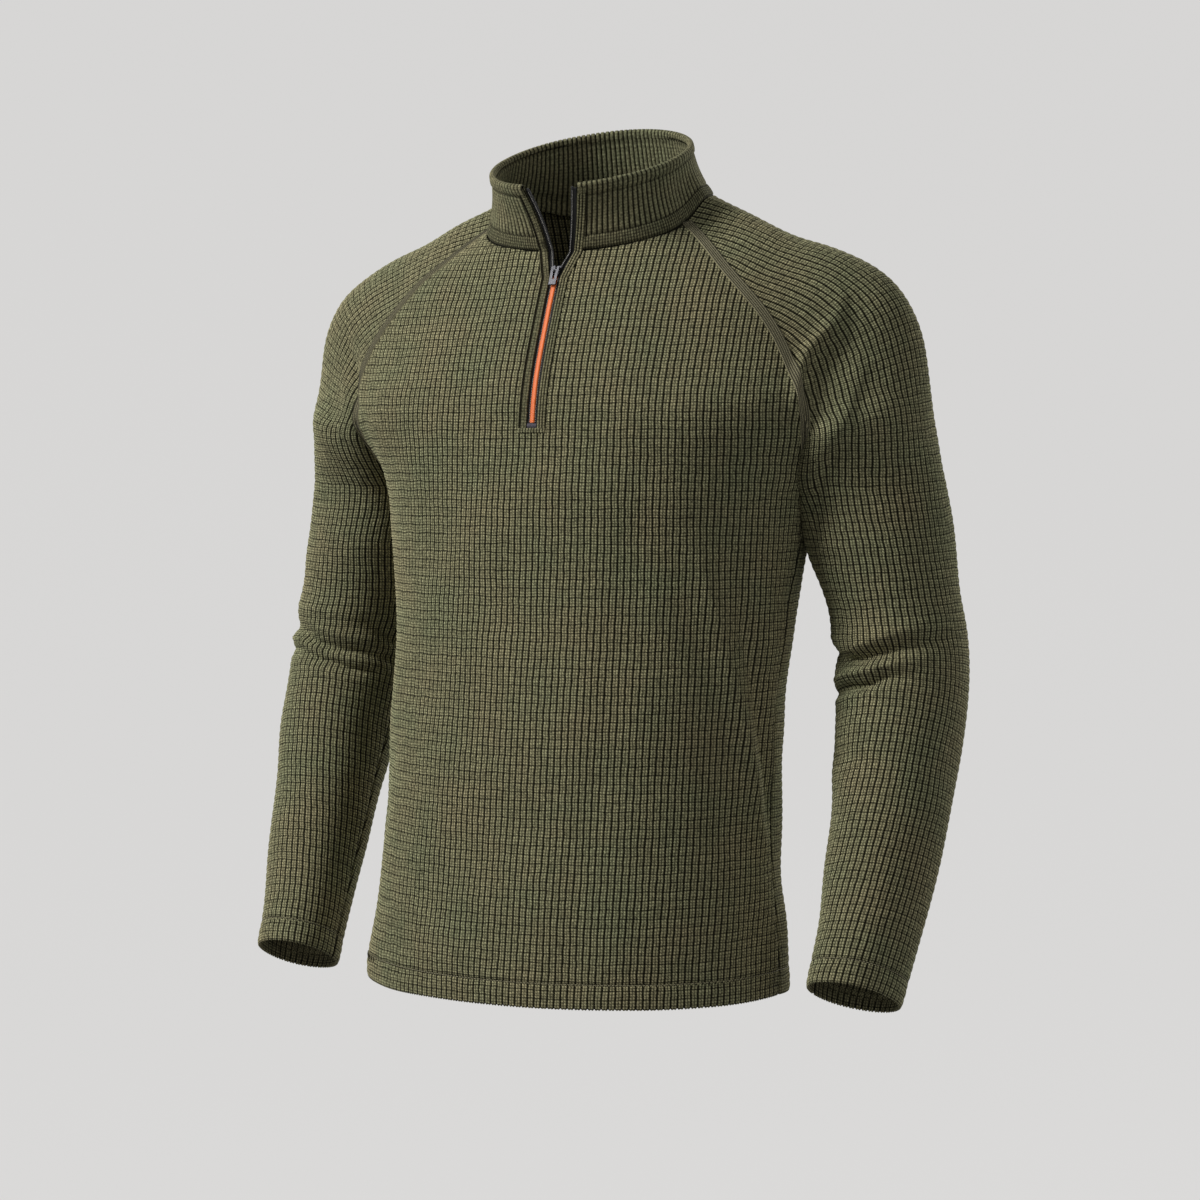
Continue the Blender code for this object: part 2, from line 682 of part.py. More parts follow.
def tapered(foot_wide, top_wide, foot, top, corner):
    """An outline that widens upward, its corners cut."""
    low, high = foot_wide / 2, top_wide / 2
    half = [(low - corner, foot), (low, foot + corner), (high, top - corner), (high - corner, top)]
    return half + [(-x, y) for x, y in half[::-1]]


def join(thing, other, operation):
    other.hide_render = True
    other.display_type = "WIRE"
    modifier = thing.modifiers.new(other.name, "BOOLEAN")
    modifier.operation = operation
    modifier.object = other


def round_edges(thing, width):
    modifier = thing.modifiers.new("edges", "BEVEL")
    modifier.width = width
    modifier.segments = 1
    modifier.limit_method = "ANGLE"
    modifier.angle_limit = math.radians(40)


def slider_frame():
    point, up, out = centre_frame(SLIDER_Z)
    turn = Matrix(np.stack([(1.0, 0.0, 0.0), up, out], axis=1).tolist())
    return Matrix.LocRotScale(Vector(point), turn, None)


def plates():
    """How far out of the cloth the undersides of the slider's front and back plates lie."""
    chain_face = CHAIN_THICK - WALL
    tape_back = -(WALL + CLEAR + TAPE_THICK)
    return chain_face + CLEAR, tape_back - CLEAR - PLATE_THICK


def crown_outline(top, face):
    """The crown from the side: an arch, open below, sunk a little into the front plate."""
    sunk, ceiling = face - PLATE_THICK / 2, face + CROWN_INSIDE
    ridge, foot = ceiling + CROWN_TOP, top - CROWN_LONG
    outside = [(foot, sunk), (foot, ceiling), (foot + CROWN_TOP, ridge)]
    outside += [(top - CROWN_TOP, ridge), (top, ceiling), (top, sunk)]
    inside = [(top - CROWN_LEG, sunk), (top - CROWN_LEG, ceiling)]
    return outside + inside + [(foot + CROWN_LEG, ceiling), (foot + CROWN_LEG, sunk)]


def make_slider():
    """Two plates round the tapes, the post between them that parts the chain, and the crown."""
    front, back = plates()
    top, foot = PLATE_TALL / 2, -PLATE_TALL / 2
    plate = tapered(PLATE_FOOT_WIDE, PLATE_TOP_WIDE, foot, top, PLATE_CORNER)
    post = tapered(POST_WIDE / 2, POST_WIDE, top - POST_TALL, top - CLEAR, CLEAR)
    post_ends = back + PLATE_THICK / 2, front + PLATE_THICK / 2
    arch = crown_outline(top, front + PLATE_THICK)
    slider = prism("zip_slider", plate, (0, 1), front, front + PLATE_THICK)
    join(slider, prism("slider_back", plate, (0, 1), back, back + PLATE_THICK), "UNION")
    join(slider, prism("slider_post", post, (0, 1), *post_ends), "UNION")
    join(slider, prism("slider_crown", arch, (1, 2), -CROWN_WIDE / 2, CROWN_WIDE / 2), "UNION")
    round_edges(slider, SLIDER_EDGE)


def make_pull():
    """The tab, a frame whose top bar turns under the crown."""
    up = PLATE_TALL / 2 - CROWN_LEG - CLEAR - PULL_BAR / 2
    out = plates()[0] + PLATE_THICK + CROWN_INSIDE / 2
    near, far = out - PULL_THICK / 2, out + PULL_THICK / 2
    top, slot_top = up + PULL_BAR / 2, up - PULL_BAR / 2
    outline = tapered(PULL_FOOT_WIDE, PULL_TOP_WIDE, top - PULL_LONG, top, PULL_CORNER)
    slot = tapered(PULL_SLOT_FOOT, PULL_SLOT_WIDE, slot_top - PULL_SLOT_LONG, slot_top, CLEAR)
    tab = prism("zip_pull", outline, (0, 1), near, far)
    join(tab, prism("pull_slot", slot, (0, 1), near - MM, far + MM), "DIFFERENCE")
    round_edges(tab, PULL_EDGE)
    pivot = slider_frame() @ Vector((0, up, out))
    tab.data.transform(Matrix.Translation(-pivot))
    tab.location = pivot


def main():
    for thing in list(bpy.data.objects):
        bpy.data.objects.remove(thing)
    make_front()
    make_back()
    make_collar()
    for side, word in ((1, "left"), (-1, "right")):
        make_sleeve("sleeve_" + word, side)
        make_tape("zip_tape_" + word, side)
        make_coil("zip_coil_" + word, side)
    make_chain()
    make_bottom_stop()
    make_slider()
    make_pull()


if __name__ == "__main__":
    main()
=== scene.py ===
"""Looks of a quarter-zip knit top: cloth with its grid knit, seams and folds, and its zip.

Everything is in metres and in the frame's own axes: +Z up, the front faces -Y, +X is the
wearer's left, and the origin is on the body's axis at the level of the shoulder.
"""

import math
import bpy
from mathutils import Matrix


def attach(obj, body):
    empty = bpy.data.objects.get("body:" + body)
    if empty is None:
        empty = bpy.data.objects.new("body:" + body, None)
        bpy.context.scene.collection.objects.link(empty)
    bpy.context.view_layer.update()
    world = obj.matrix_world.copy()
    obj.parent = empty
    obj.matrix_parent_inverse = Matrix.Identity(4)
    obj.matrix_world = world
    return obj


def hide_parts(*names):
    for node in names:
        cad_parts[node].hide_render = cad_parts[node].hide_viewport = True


bl_info = {
    "name": "Quarter-zip knit top",
    "version": (1, 0, 0),
    "blender": (4, 5, 0),
    "location": "View3D > Sidebar > Knit Top",
    "description": "Makes the cloth, seams and zip of a worn quarter-zip top round its frame",
    "category": "Object",
}

import bmesh
import bpy
import numpy as np
from mathutils import Matrix, Vector

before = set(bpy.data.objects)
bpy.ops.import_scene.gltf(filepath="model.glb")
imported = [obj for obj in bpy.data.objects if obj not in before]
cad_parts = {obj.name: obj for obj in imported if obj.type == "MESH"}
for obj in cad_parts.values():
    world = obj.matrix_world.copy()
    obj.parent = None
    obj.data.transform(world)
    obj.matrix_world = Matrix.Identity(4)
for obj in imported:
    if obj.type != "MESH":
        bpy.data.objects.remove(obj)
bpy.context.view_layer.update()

MM = 0.001

# Form of the cloth, as in the frame's solids
WALL = 1.8 * MM
HEM_WALL = 3.0 * MM
HEM_DEPTH = 20.0 * MM
COLLAR_WALL = 3.0 * MM
NECK_FRONT_Z = -0.052
NECK_BACK_Z = -0.006
UNDERARM_Z = -0.255
HEM_Z = -0.690
HEM_SIDE_RISE = 0.005
SLIT_HALF = 5.2 * MM
SLIT_BOTTOM_Z = -0.20425
OPEN_FROM_Z = -0.0745
OPEN_SLOPE = 0.34
TAPE_SHOWN = 4.6 * MM
SLIDER_Z = -0.0695
CHAIN_TOP_Z = -0.0712
COIL_FROM_Z = -0.0695


def second_derivatives(keys, values):
    """Those of the natural cubic spline through the values."""
    count = len(keys)
    step = np.diff(keys)
    matrix = np.eye(count)
    right = np.zeros(count)
    for i in range(1, count - 1):
        matrix[i, i - 1 : i + 2] = step[i - 1], 2 * (step[i - 1] + step[i]), step[i]
        rise = np.diff(values[i - 1 : i + 2]) / step[i - 1 : i + 1]
        right[i] = 6 * (rise[1] - rise[0])
    return np.linalg.solve(matrix, right)


class Table:
    """Rows of named columns, read between its rows by a natural cubic spline on the first column."""

    def __init__(self, names, *rows):
        self.rows = sorted(rows)
        columns = np.array(self.rows, float).T
        self.keys = columns[0]
        self.columns = {
            name: (values, second_derivatives(self.keys, values))
            for name, values in zip(names.split(), columns)
        }

    def at(self, name, where):
        """A column's value at a place along the first column, or at many."""
        values, bends = self.columns[name]
        where = np.clip(where, self.keys[0], self.keys[-1])
        i = np.clip(np.searchsorted(self.keys, where) - 1, 0, len(self.keys) - 2)
        step = self.keys[i + 1] - self.keys[i]
        b = (where - self.keys[i]) / step
        a = 1 - b
        curve = (a**3 - a) * bends[i] + (b**3 - b) * bends[i + 1]
        return a * values[i] + b * values[i + 1] + curve * step**2 / 6

    def point(self, prefix, where):
        """The point whose columns have this prefix before x, y and z."""
        return np.stack([self.at(prefix + axis, where) for axis in "xyz"], axis=-1)


# Level sections of the body are parts of ellipses. Their centre front and centre back:
CENTRE = Table(
    "level    front    back",
    (+0.000, -0.0235, 0.1150),
    (-0.040, -0.0415, 0.1255),
    (-0.085, -0.0620, 0.1350),
    (-0.130, -0.0810, 0.1415),
    (-0.175, -0.0960, 0.1450),
    (-0.215, -0.1015, 0.1460),
    (-0.255, -0.1065, 0.1460),
    (-0.310, -0.1100, 0.1435),
    (-0.365, -0.1140, 0.1400),
    (-0.442, -0.1230, 0.1280),
    (-0.518, -0.1320, 0.1180),
    (-0.583, -0.1400, 0.1145),
    (-0.657, -0.1500, 0.1140),
    (-0.690, -0.1530, 0.1150),
)
# Their widest point, where the side seam runs from the underarm down:
SIDE = Table(
    "level    x       y",
    (-0.180, 0.2380, +0.0235),
    (-0.215, 0.2185, +0.0235),
    (-0.255, 0.2010, +0.0240),
    (-0.285, 0.1955, +0.0260),
    (-0.316, 0.1925, +0.0250),
    (-0.365, 0.1880, +0.0165),
    (-0.442, 0.1840, +0.0020),
    (-0.518, 0.1835, -0.0070),
    (-0.583, 0.1870, -0.0130),
    (-0.657, 0.1945, -0.0180),
    (-0.690, 0.1967, -0.0190),
)
# Above the underarm the widest point is inside the sleeve, and a section ends at the raglan
# seam once it has turned so many degrees from the centre line:
YOKE = {
    "front": Table(
        "level    x       y       turn",
        (-0.025, 0.1253, 0.0770, 50),
        (-0.065, 0.1995, 0.0645, 45),
        (-0.100, 0.2415, 0.0650, 47),
        (-0.131, 0.2510, 0.0570, 52.5),
        (-0.159, 0.2470, 0.0405, 59),
        (-0.182, 0.2392, 0.0225, 66),
        (-0.220, 0.2196, 0.0219, 77),
        (-0.255, 0.2010, 0.0240, 90),
    ),
    "back": Table(
        "level    x       y       turn",
        (+0.000, 0.1144, 0.0092, 48),
        (-0.040, 0.1686, 0.0289, 46),
        (-0.085, 0.2045, 0.0383, 48),
        (-0.130, 0.2175, 0.0457, 54),
        (-0.175, 0.2165, 0.0413, 62),
        (-0.215, 0.2085, 0.0290, 72),
        (-0.255, 0.2010, 0.0240, 90),
    ),
}
YOKE_BLEND = 0.05  # over this height above the underarm the sections take up the yoke's table
NECK_Z = {"front": NECK_FRONT_Z, "back": NECK_BACK_Z}

# The left sleeve: its overarm line, and from the neck to the underarm the levels at which
# the same round of cloth meets the two raglan seams.
SHOULDER = Table(
    "along  over_x  over_y  over_z  front_z  back_z",
    (0.000, 0.1040, 0.0340, -0.0030, -0.025, 0.000),
    (0.046, 0.1470, 0.0380, -0.0205, -0.062, -0.037),
    (0.091, 0.1885, 0.0410, -0.0405, -0.091, -0.070),
    (0.132, 0.2285, 0.0450, -0.0550, -0.115, -0.095),
    (0.169, 0.2620, 0.0480, -0.0755, -0.137, -0.118),
    (0.207, 0.2855, 0.0510, -0.1065, -0.158, -0.141),
    (0.243, 0.2955, 0.0540, -0.1420, -0.178, -0.163),
    (0.284, 0.3000, 0.0570, -0.1840, -0.203, -0.192),
    (0.325, 0.3045, 0.0600, -0.2250, -0.232, -0.226),
    (0.350, 0.3080, 0.0615, -0.2500, -0.255, -0.255),
)
# From the underarm to the cuff: the overarm and underarm lines, how deep the front and the
# back half of the sleeve are beside a true round, and how far its front turns inward.
ARM = Table(
    "along  over_x  over_y  over_z  under_x  under_y  under_z  front_depth  back_depth  twist",
    (0.350, 0.3080, 0.0615, -0.2500, 0.2016, 0.0240, -0.2550, 0.78, 1.25, 0.00),
    (0.398, 0.3145, 0.0650, -0.2980, 0.1960, 0.0480, -0.3010, 0.90, 1.08, 0.00),
    (0.453, 0.3230, 0.0665, -0.3520, 0.2070, 0.0655, -0.3580, 0.97, 1.02, 0.00),
    (0.495, 0.3290, 0.0660, -0.3940, 0.2155, 0.0650, -0.3980, 1.00, 1.00, 0.00),
    (0.538, 0.3315, 0.0580, -0.4350, 0.2205, 0.0570, -0.4380, 1.00, 1.00, 0.01),
    (0.582, 0.3315, 0.0430, -0.4770, 0.2250, 0.0420, -0.4800, 1.00, 1.00, 0.03),
    (0.675, 0.3255, 0.0115, -0.5650, 0.2325, 0.0105, -0.5660, 1.00, 1.00, 0.08),
    (0.756, 0.3160, -0.0210, -0.6400, 0.2355, -0.0210, -0.6400, 1.08, 1.08, 0.12),
    (0.799, 0.3110, -0.0395, -0.6790, 0.2350, -0.0395, -0.6790, 1.15, 1.15, 0.14),
)
OVERARM = Table("along x y z", *[row[:4] for row in SHOULDER.rows + ARM.rows[1:]])
UNDERARM_ALONG = ARM.keys[0]
CUFF_ALONG = ARM.keys[-1]
CREASE_FROM = 0.21  # above this the cloth runs smoothly over the raglan seam

COLLAR_TOP_Y = 0.012
COLLAR_TOP_HALF_WIDTH = 0.090
COLLAR_TOP_HALF_DEPTH = 0.083
COLLAR_TOP_RISE = 0.062
COLLAR_TIP_X = 0.0265
COLLAR_TALL = 0.053


def unit(vectors):
    """The same ways, of length 1."""
    return vectors / np.maximum(np.linalg.norm(vectors, axis=-1, keepdims=True), 1e-12)


def ease(value):
    """0 to 1, level at both ends."""
    value = np.clip(value, 0.0, 1.0)
    return value * value * (3 - 2 * value)


def section(side, level):
    """Half width, centre line, depth and turn at the edge of a panel's section."""
    level = np.asarray(level, float)
    yoke = YOKE[side]
    own = ease((level - UNDERARM_Z) / YOKE_BLEND)
    half_width = SIDE.at("x", level) * (1 - own) + yoke.at("x", level) * own
    widest_y = SIDE.at("y", level) * (1 - own) + yoke.at("y", level) * own
    centre = CENTRE.at(side, level)
    turn = np.where(level > UNDERARM_Z, yoke.at("turn", level), 90.0)
    return half_width, centre, widest_y - centre, np.radians(turn)


def panel_point(side, across, level):
    """A point of the front or back: across runs from -1 at the right edge to 1 at the left."""
    half_width, centre, depth, turn = section(side, level)
    x = half_width * np.sin(across * turn)
    y = centre + depth * (1 - np.cos(across * turn))
    return np.stack([x, y, level + 0 * x], axis=-1)


def slit_half(level):
    """Half the gap between the zip's two turned edges."""
    return SLIT_HALF + OPEN_SLOPE * np.maximum(0.0, level - OPEN_FROM_Z)


def across_of(side, x, level):
    """How far across a panel a place beside the centre line is."""
    half_width, _, _, turn = section(side, level)
    return np.arcsin(x / half_width) / turn


def arc(start, leaving, end, arriving, depth, count):
    """A cubic that is a circle's arc where the ends allow one, deeper or flatter by depth."""
    chord = np.linalg.norm(end - start)
    angle = math.acos(float(np.clip(leaving @ arriving, -1, 1)))
    reach = chord / 3
    if angle > 1e-3:
        reach = 2 / 3 * chord * math.tan(angle / 4) / math.sin(angle / 2)
    a, b = start + leaving * reach * depth, end - arriving * reach * depth
    t = np.linspace(0, 1, count)[:, None]
    return (1 - t) ** 3 * start + 3 * t * (1 - t) ** 2 * a + 3 * t * t * (1 - t) * b + t**3 * end


def overarm_direction(along):
    """The way of the overarm line, from the neck to the cuff."""
    ahead, behind = min(along + 0.004, CUFF_ALONG), max(along - 0.004, 0.0)
    return unit(OVERARM.point("", ahead) - OVERARM.point("", behind))


def seam_start(side, level, over):
    """The raglan seam's point at a level, and the way the panel's cloth runs on from it."""
    point = panel_point(side, 1.0, level)
    below = panel_point(side, 1.0, min(level + 0.003, YOKE[side].keys[-1]))
    above = panel_point(side, 1.0, level - 0.003)
    inside = panel_point(side, 0.97, level)
    normal = unit(np.cross(below - above, point - inside))
    towards = over - point
    return point, unit(towards - normal * (towards @ normal))


def sleeve_round(along, count=80):
    """One round of the left sleeve from its front edge over the top to its back edge."""
    over = OVERARM.point("", along)
    direction = overarm_direction(along)
    forward = np.array([0.0, -1.0, 0.0])
    forward = unit(forward - direction * (forward @ direction))
    halves = []
    for side, turn in (("front", forward), ("back", -forward)):
        if along < UNDERARM_ALONG - 1e-6:
            start, smooth = seam_start(side, float(SHOULDER.at(side + "_z", along)), over)
            crease = ease((along - CREASE_FROM) / (UNDERARM_ALONG - CREASE_FROM))
            outward = turn + np.array([0.25, 0.0, 0.0])
            leaving = unit(smooth * (1 - crease) + outward * crease)
        else:
            start = ARM.point("under_", along)
            away = 0.25 * ease(1 - (along - UNDERARM_ALONG) / 0.06)
            leaving = unit(turn + np.array([away, 0.0, 0.0]))
            inward = float(ARM.at("twist", along)) * (1 if side == "front" else -1)
            turn = unit(turn - np.array([inward, 0.0, 0.0]))
            leaving = unit(leaving - np.array([inward, 0.0, 0.0]))
        fade = ease((along - 0.20) / (UNDERARM_ALONG - 0.20))
        scale = 1 + (float(ARM.at(side + "_depth", along)) - 1) * fade
        halves.append(arc(start, leaving, over, -turn, scale, count))
    return np.concatenate([halves[0], halves[1][-2::-1]])


def gone_along(line):
    """Distance gone at each point of a line."""
    return np.concatenate([[0], np.cumsum(np.linalg.norm(np.diff(line, axis=0), axis=1))])


def read_along(keys, rows, places):
    """Rows of x, y and z, read at places between their keys."""
    return np.stack([np.interp(places, keys, rows[:, axis]) for axis in range(3)], axis=-1)


def resample(line, places):
    """Points of a line at distances from its start."""
    return read_along(gone_along(line), line, places)


def evenly(line, count):
    """So many points of a line, at equal distances."""
    return resample(line, np.linspace(0, gone_along(line)[-1], count))


def neck_seam(count):
    """The left half of the neck seam, from the zip's edge to the centre back."""
    first = float(across_of("front", slit_half(NECK_FRONT_Z), NECK_FRONT_Z))
    across = np.linspace(first, 1, 40)
    top = YOKE["front"].keys[-1]
    front = panel_point("front", across, NECK_FRONT_Z + (top - NECK_FRONT_Z) * across**2)
    across = np.linspace(1, 0, 40)
    top = YOKE["back"].keys[-1]
    back = panel_point("back", across, NECK_BACK_Z + (top - NECK_BACK_Z) * across**2)
    return evenly(np.concatenate([front, sleeve_round(0.0, 20)[1:], back[1:]]), count)


def collar_top(count):
    """The left half of the collar's top edge, from its front tip to the centre back."""
    turn = np.linspace(math.asin(COLLAR_TIP_X / COLLAR_TOP_HALF_WIDTH), math.pi, 200)
    x = COLLAR_TOP_HALF_WIDTH * np.sin(turn)
    y = COLLAR_TOP_Y - COLLAR_TOP_HALF_DEPTH * np.cos(turn)
    return evenly(np.stack([x, y, COLLAR_TOP_RISE * (1 - np.cos(turn)) / 2], axis=-1), count)


COLLAR_DENSE = 201
collar_base_line = neck_seam(COLLAR_DENSE)
collar_top_line = collar_top(COLLAR_DENSE)


def collar_row(up):
    """The left half of a level of the collar, from its front edge to the centre back."""
    belly = -0.0030 * math.sin(math.pi * up)
    point = collar_base_line + (collar_top_line - collar_base_line) * up
    away = (point - [0.0, 0.024, 0.0]) * [1, 1, 0]
    return point + unit(away) * belly


class Fold:
    """A line on the form with its depth and width in mm; a ridge has a depth below zero.

    On a panel the line's places are a level and a side place from -1 to 1; on a sleeve they are
    the distance from the neck and a place from its front edge, 0, to its back edge, 1. A fold
    with a lip drops steeply on its side of growing side places. also names another piece that
    the fold runs on into."""

    def __init__(self, piece, also, *rows, lip=None):
        self.pieces = (piece, *also.split())
        self.lip = lip
        order = np.arange(len(rows), dtype=float)
        steps = np.linspace(0, len(rows) - 1, 6 * (len(rows) - 1) + 1)
        table = Table("order down around depth width", *[(i, *row) for i, row in zip(order, rows)])
        down, around, depth, width = [table.at(name, steps) for name in list(table.columns)[1:]]
        self.line = np.array([point_on(piece, *place) for place in zip(down, around)])
        beside = np.array([point_on(piece, *place) for place in zip(down, around + 0.01)])
        self.aside = unit(beside - self.line)
        self.depth = depth * MM
        self.width = np.maximum(width, 2.0) * MM


def point_on(piece, down, around):
    """A point of the form, by a panel's level and side place or a sleeve's along and around."""
    if not piece.startswith("sleeve"):
        return panel_point(piece, around, down)
    line = sleeve_round(min(down, CUFF_ALONG), 30)
    place = resample(line, [around * gone_along(line)[-1]])[0]
    return place * [-1 if piece.endswith("right") else 1, 1, 1]


def folds_of_top():
    """All folds; those that the photo doesn't show are like the others, and placed one by one."""
    left, right = "sleeve_left", "sleeve_right"
    return [
        # The left shoulder's cloth laps over the sleeve above the underarm
        Fold(left, "front", (0.168, 0.300, 1, 8), (0.184, 0.240, 3, 8), (0.191, 0.180, 5.5, 8),
             (0.199, 0.10, 7, 8), (0.216, 0.045, 7, 8), (0.240, 0.012, 5, 8), (0.262, 0.0, 2.5, 8),
             lip=0.7),
        Fold(left, "", (0.234, 0.275, 0.5, 11), (0.246, 0.24, 2, 11), (0.268, 0.19, 3.5, 11),
             (0.288, 0.165, 4.5, 11), (0.304, 0.15, 4.5, 11), (0.318, 0.135, 4, 11),
             (0.334, 0.115, 3, 11), (0.350, 0.09, 2, 11), (0.366, 0.072, 1, 11), lip=0.15),
        Fold(left, "", (0.300, 0.02, -0.5, 12), (0.330, 0.02, -5, 14), (0.360, 0.03, -6, 15),
             (0.395, 0.04, -3, 15), (0.430, 0.05, -0.5, 15)),
        # Its elbow
        Fold(left, "", (0.494, 0.0, 1, 7), (0.499, 0.088, 4.5, 6.5), (0.508, 0.159, 8, 6),
             (0.500, 0.247, 8, 6), (0.490, 0.326, 6, 6.5), (0.484, 0.40, 3, 7), (0.480, 0.46, 0.3, 8)),
        Fold(left, "", (0.538, 0.0, 0.8, 5), (0.539, 0.09, 3.5, 5), (0.539, 0.151, 7, 5),
             (0.538, 0.213, 6.5, 5), (0.531, 0.259, 4.5, 5), (0.527, 0.30, 2, 5), (0.526, 0.36, 0, 5)),
        Fold(left, "", (0.524, 0.04, -1, 8), (0.525, 0.15, -3, 8), (0.518, 0.26, -3, 8),
             (0.508, 0.36, -1, 8)),
        Fold(left, "", (0.478, 0.06, -1.5, 13), (0.480, 0.22, -3, 13), (0.466, 0.40, -1.5, 13)),
        Fold(left, "", (0.497, 0.98, 2, 8), (0.488, 0.90, 4.5, 7), (0.478, 0.80, 2, 8),
             (0.470, 0.70, 0, 9)),
        Fold(left, "", (0.537, 0.97, 1.5, 7), (0.545, 0.88, 4, 6), (0.556, 0.78, 0.5, 8)),
        Fold(left, "", (0.585, 0.06, 0.5, 11), (0.600, 0.14, 2, 12), (0.606, 0.24, 0.5, 12)),
        # The right armpit and elbow
        Fold(right, "front", (0.192, 0.222, 1, 10), (0.205, 0.13, 4, 10), (0.221, 0.054, 5.5, 10),
             (0.250, 0.0, 4, 10)),
        Fold(right, "front", (0.235, 0.07, -0.5, 12), (0.262, 0.045, -2, 14), (0.300, 0.03, -4, 15),
             (0.340, 0.04, -2, 14)),
        Fold(right, "", (0.262, 0.17, 0.3, 10), (0.290, 0.12, 1.8, 10), (0.318, 0.07, 3, 10),
             (0.345, 0.03, 3, 10)),
        Fold(right, "", (0.487, 0.47, 0.5, 7), (0.489, 0.40, 2.5, 7), (0.493, 0.335, 4, 7),
             (0.503, 0.301, 5.5, 7), (0.511, 0.247, 6.5, 7), (0.515, 0.176, 6, 7),
             (0.517, 0.059, 4, 7)),
        Fold(right, "", (0.512, 0.46, 0.5, 6), (0.515, 0.40, 2, 6), (0.518, 0.331, 3, 6),
             (0.527, 0.272, 5, 6), (0.533, 0.205, 6, 6), (0.537, 0.159, 5, 6), (0.535, 0.096, 2.5, 6)),
        Fold(right, "", (0.474, 0.18, 0.5, 7), (0.481, 0.13, 3, 7), (0.497, 0.067, 4, 7),
             (0.508, 0.0, 2, 7)),
        Fold(right, "", (0.500, 0.44, -1.5, 8), (0.503, 0.36, -3, 8), (0.515, 0.28, -2, 8)),
        Fold(right, "", (0.470, 0.15, -1, 14), (0.468, 0.28, -3, 15), (0.466, 0.42, -2, 15)),
        Fold(right, "", (0.494, 0.97, 3, 9), (0.484, 0.87, 4, 9), (0.470, 0.76, 1, 10)),
        Fold(right, "", (0.534, 0.98, 3, 8), (0.542, 0.90, 3.5, 8), (0.551, 0.80, 0.5, 8)),
        Fold(right, "", (0.580, 0.94, 0.5, 11), (0.596, 0.86, 2, 12), (0.602, 0.76, 0.5, 12)),
        # Behind the shoulders
        Fold(left, "back", (0.205, 0.82, 0.5, 10), (0.228, 0.90, 3.5, 10), (0.258, 0.96, 4, 10),
             (0.285, 1.0, 3, 10)),
        Fold(left, "", (0.262, 0.78, 0.5, 10), (0.292, 0.87, 4, 10), (0.325, 0.94, 4.5, 10),
             (0.345, 0.98, 3, 10)),
        Fold(right, "back", (0.212, 0.80, 0.5, 10), (0.236, 0.89, 4, 10), (0.262, 0.95, 4.5, 10),
             (0.292, 1.0, 3, 10)),
        Fold(right, "", (0.270, 0.80, 0.5, 10), (0.300, 0.88, 3.5, 10), (0.335, 0.96, 4, 10)),
        # Long soft folds of the body
        Fold("front", "", (-0.300, 0.50, -0.5, 14), (-0.350, 0.59, -3, 14), (-0.410, 0.70, -4, 13),
             (-0.460, 0.79, -4, 12), (-0.510, 0.87, -3, 11), (-0.560, 0.94, -1, 10)),
        Fold("front", "", (-0.300, 0.62, 0.5, 16), (-0.350, 0.70, 3, 16), (-0.410, 0.80, 4.5, 14),
             (-0.460, 0.88, 4, 11), (-0.510, 0.94, 2.5, 9), (-0.550, 0.98, 0.5, 8)),
        Fold("front", "", (-0.460, 0.64, 0.5, 16), (-0.540, 0.74, 2, 18), (-0.620, 0.82, 2, 20),
             (-0.680, 0.86, 1.5, 20)),
        Fold("front", "", (-0.300, -0.93, 1, 18), (-0.360, -0.84, 2.5, 20), (-0.440, -0.78, 1.5, 22)),
        Fold("front", "", (-0.470, -0.66, 0.5, 18), (-0.560, -0.74, 2, 20), (-0.650, -0.78, 1.5, 22)),
        Fold("back", "", (-0.200, 0.62, 0.5, 18), (-0.260, 0.66, 3, 20), (-0.340, 0.62, 3, 22),
             (-0.430, 0.54, 1, 24)),
        Fold("back", "", (-0.215, -0.66, 0.5, 18), (-0.280, -0.68, 3, 20), (-0.360, -0.62, 2.5, 22),
             (-0.460, -0.50, 0.5, 24)),
        Fold("back", "", (-0.330, 0.12, 0.5, 22), (-0.430, 0.16, 3, 24), (-0.540, 0.22, 2.5, 26),
             (-0.650, 0.26, 1, 28)),
        Fold("back", "", (-0.350, -0.20, 0.5, 22), (-0.450, -0.22, 2.5, 24), (-0.560, -0.30, 3, 26),
             (-0.670, -0.34, 1.5, 28)),
        Fold("back", "", (-0.400, 0.72, 0.5, 16), (-0.470, 0.64, 2.5, 18), (-0.520, 0.54, 0.5, 18)),
        Fold("back", "", (-0.410, -0.78, 0.5, 16), (-0.480, -0.68, 2.5, 18), (-0.530, -0.56, 0.5, 18)),
    ]


def nearest_on(line, points):
    """Of each point, its distance from a line, where on the line, and the way from there."""
    start, step = line[:-1], np.diff(line, axis=0)
    away = points[:, None] - start[None]
    share = np.clip((away * step).sum(-1) / np.maximum((step**2).sum(-1), 1e-12), 0, 1)
    away = away - share[..., None] * step
    distance = np.linalg.norm(away, axis=-1)
    best = distance.argmin(axis=1)
    rows = np.arange(len(points))
    return distance[rows, best], best + share[rows, best], away[rows, best]


def groove(away, width):
    """1 in the middle of a groove, falling to 0 on either side."""
    return np.exp(-((away / width) ** 2))


def fold_shape(x):
    """A soft trough with a sharper crease along it, and a low swell along each side."""
    swell = np.exp(-(((np.abs(x) - 1.7) / 0.8) ** 2))
    return 0.6 * np.exp(-(x**2)) + 0.4 * np.exp(-((x / 0.42) ** 2)) - 0.2 * swell


def lap_shape(x, lip):
    """A lip before x = 0, a steep drop there, and a slow rise after it."""
    drop = np.where(x < 0.2, np.exp(-(((x - 0.2) / 0.45) ** 2)), np.exp(-(((x - 0.2) / 2.4) ** 2)))
    return drop - lip * np.exp(-(((x + 0.9) / 0.7) ** 2))


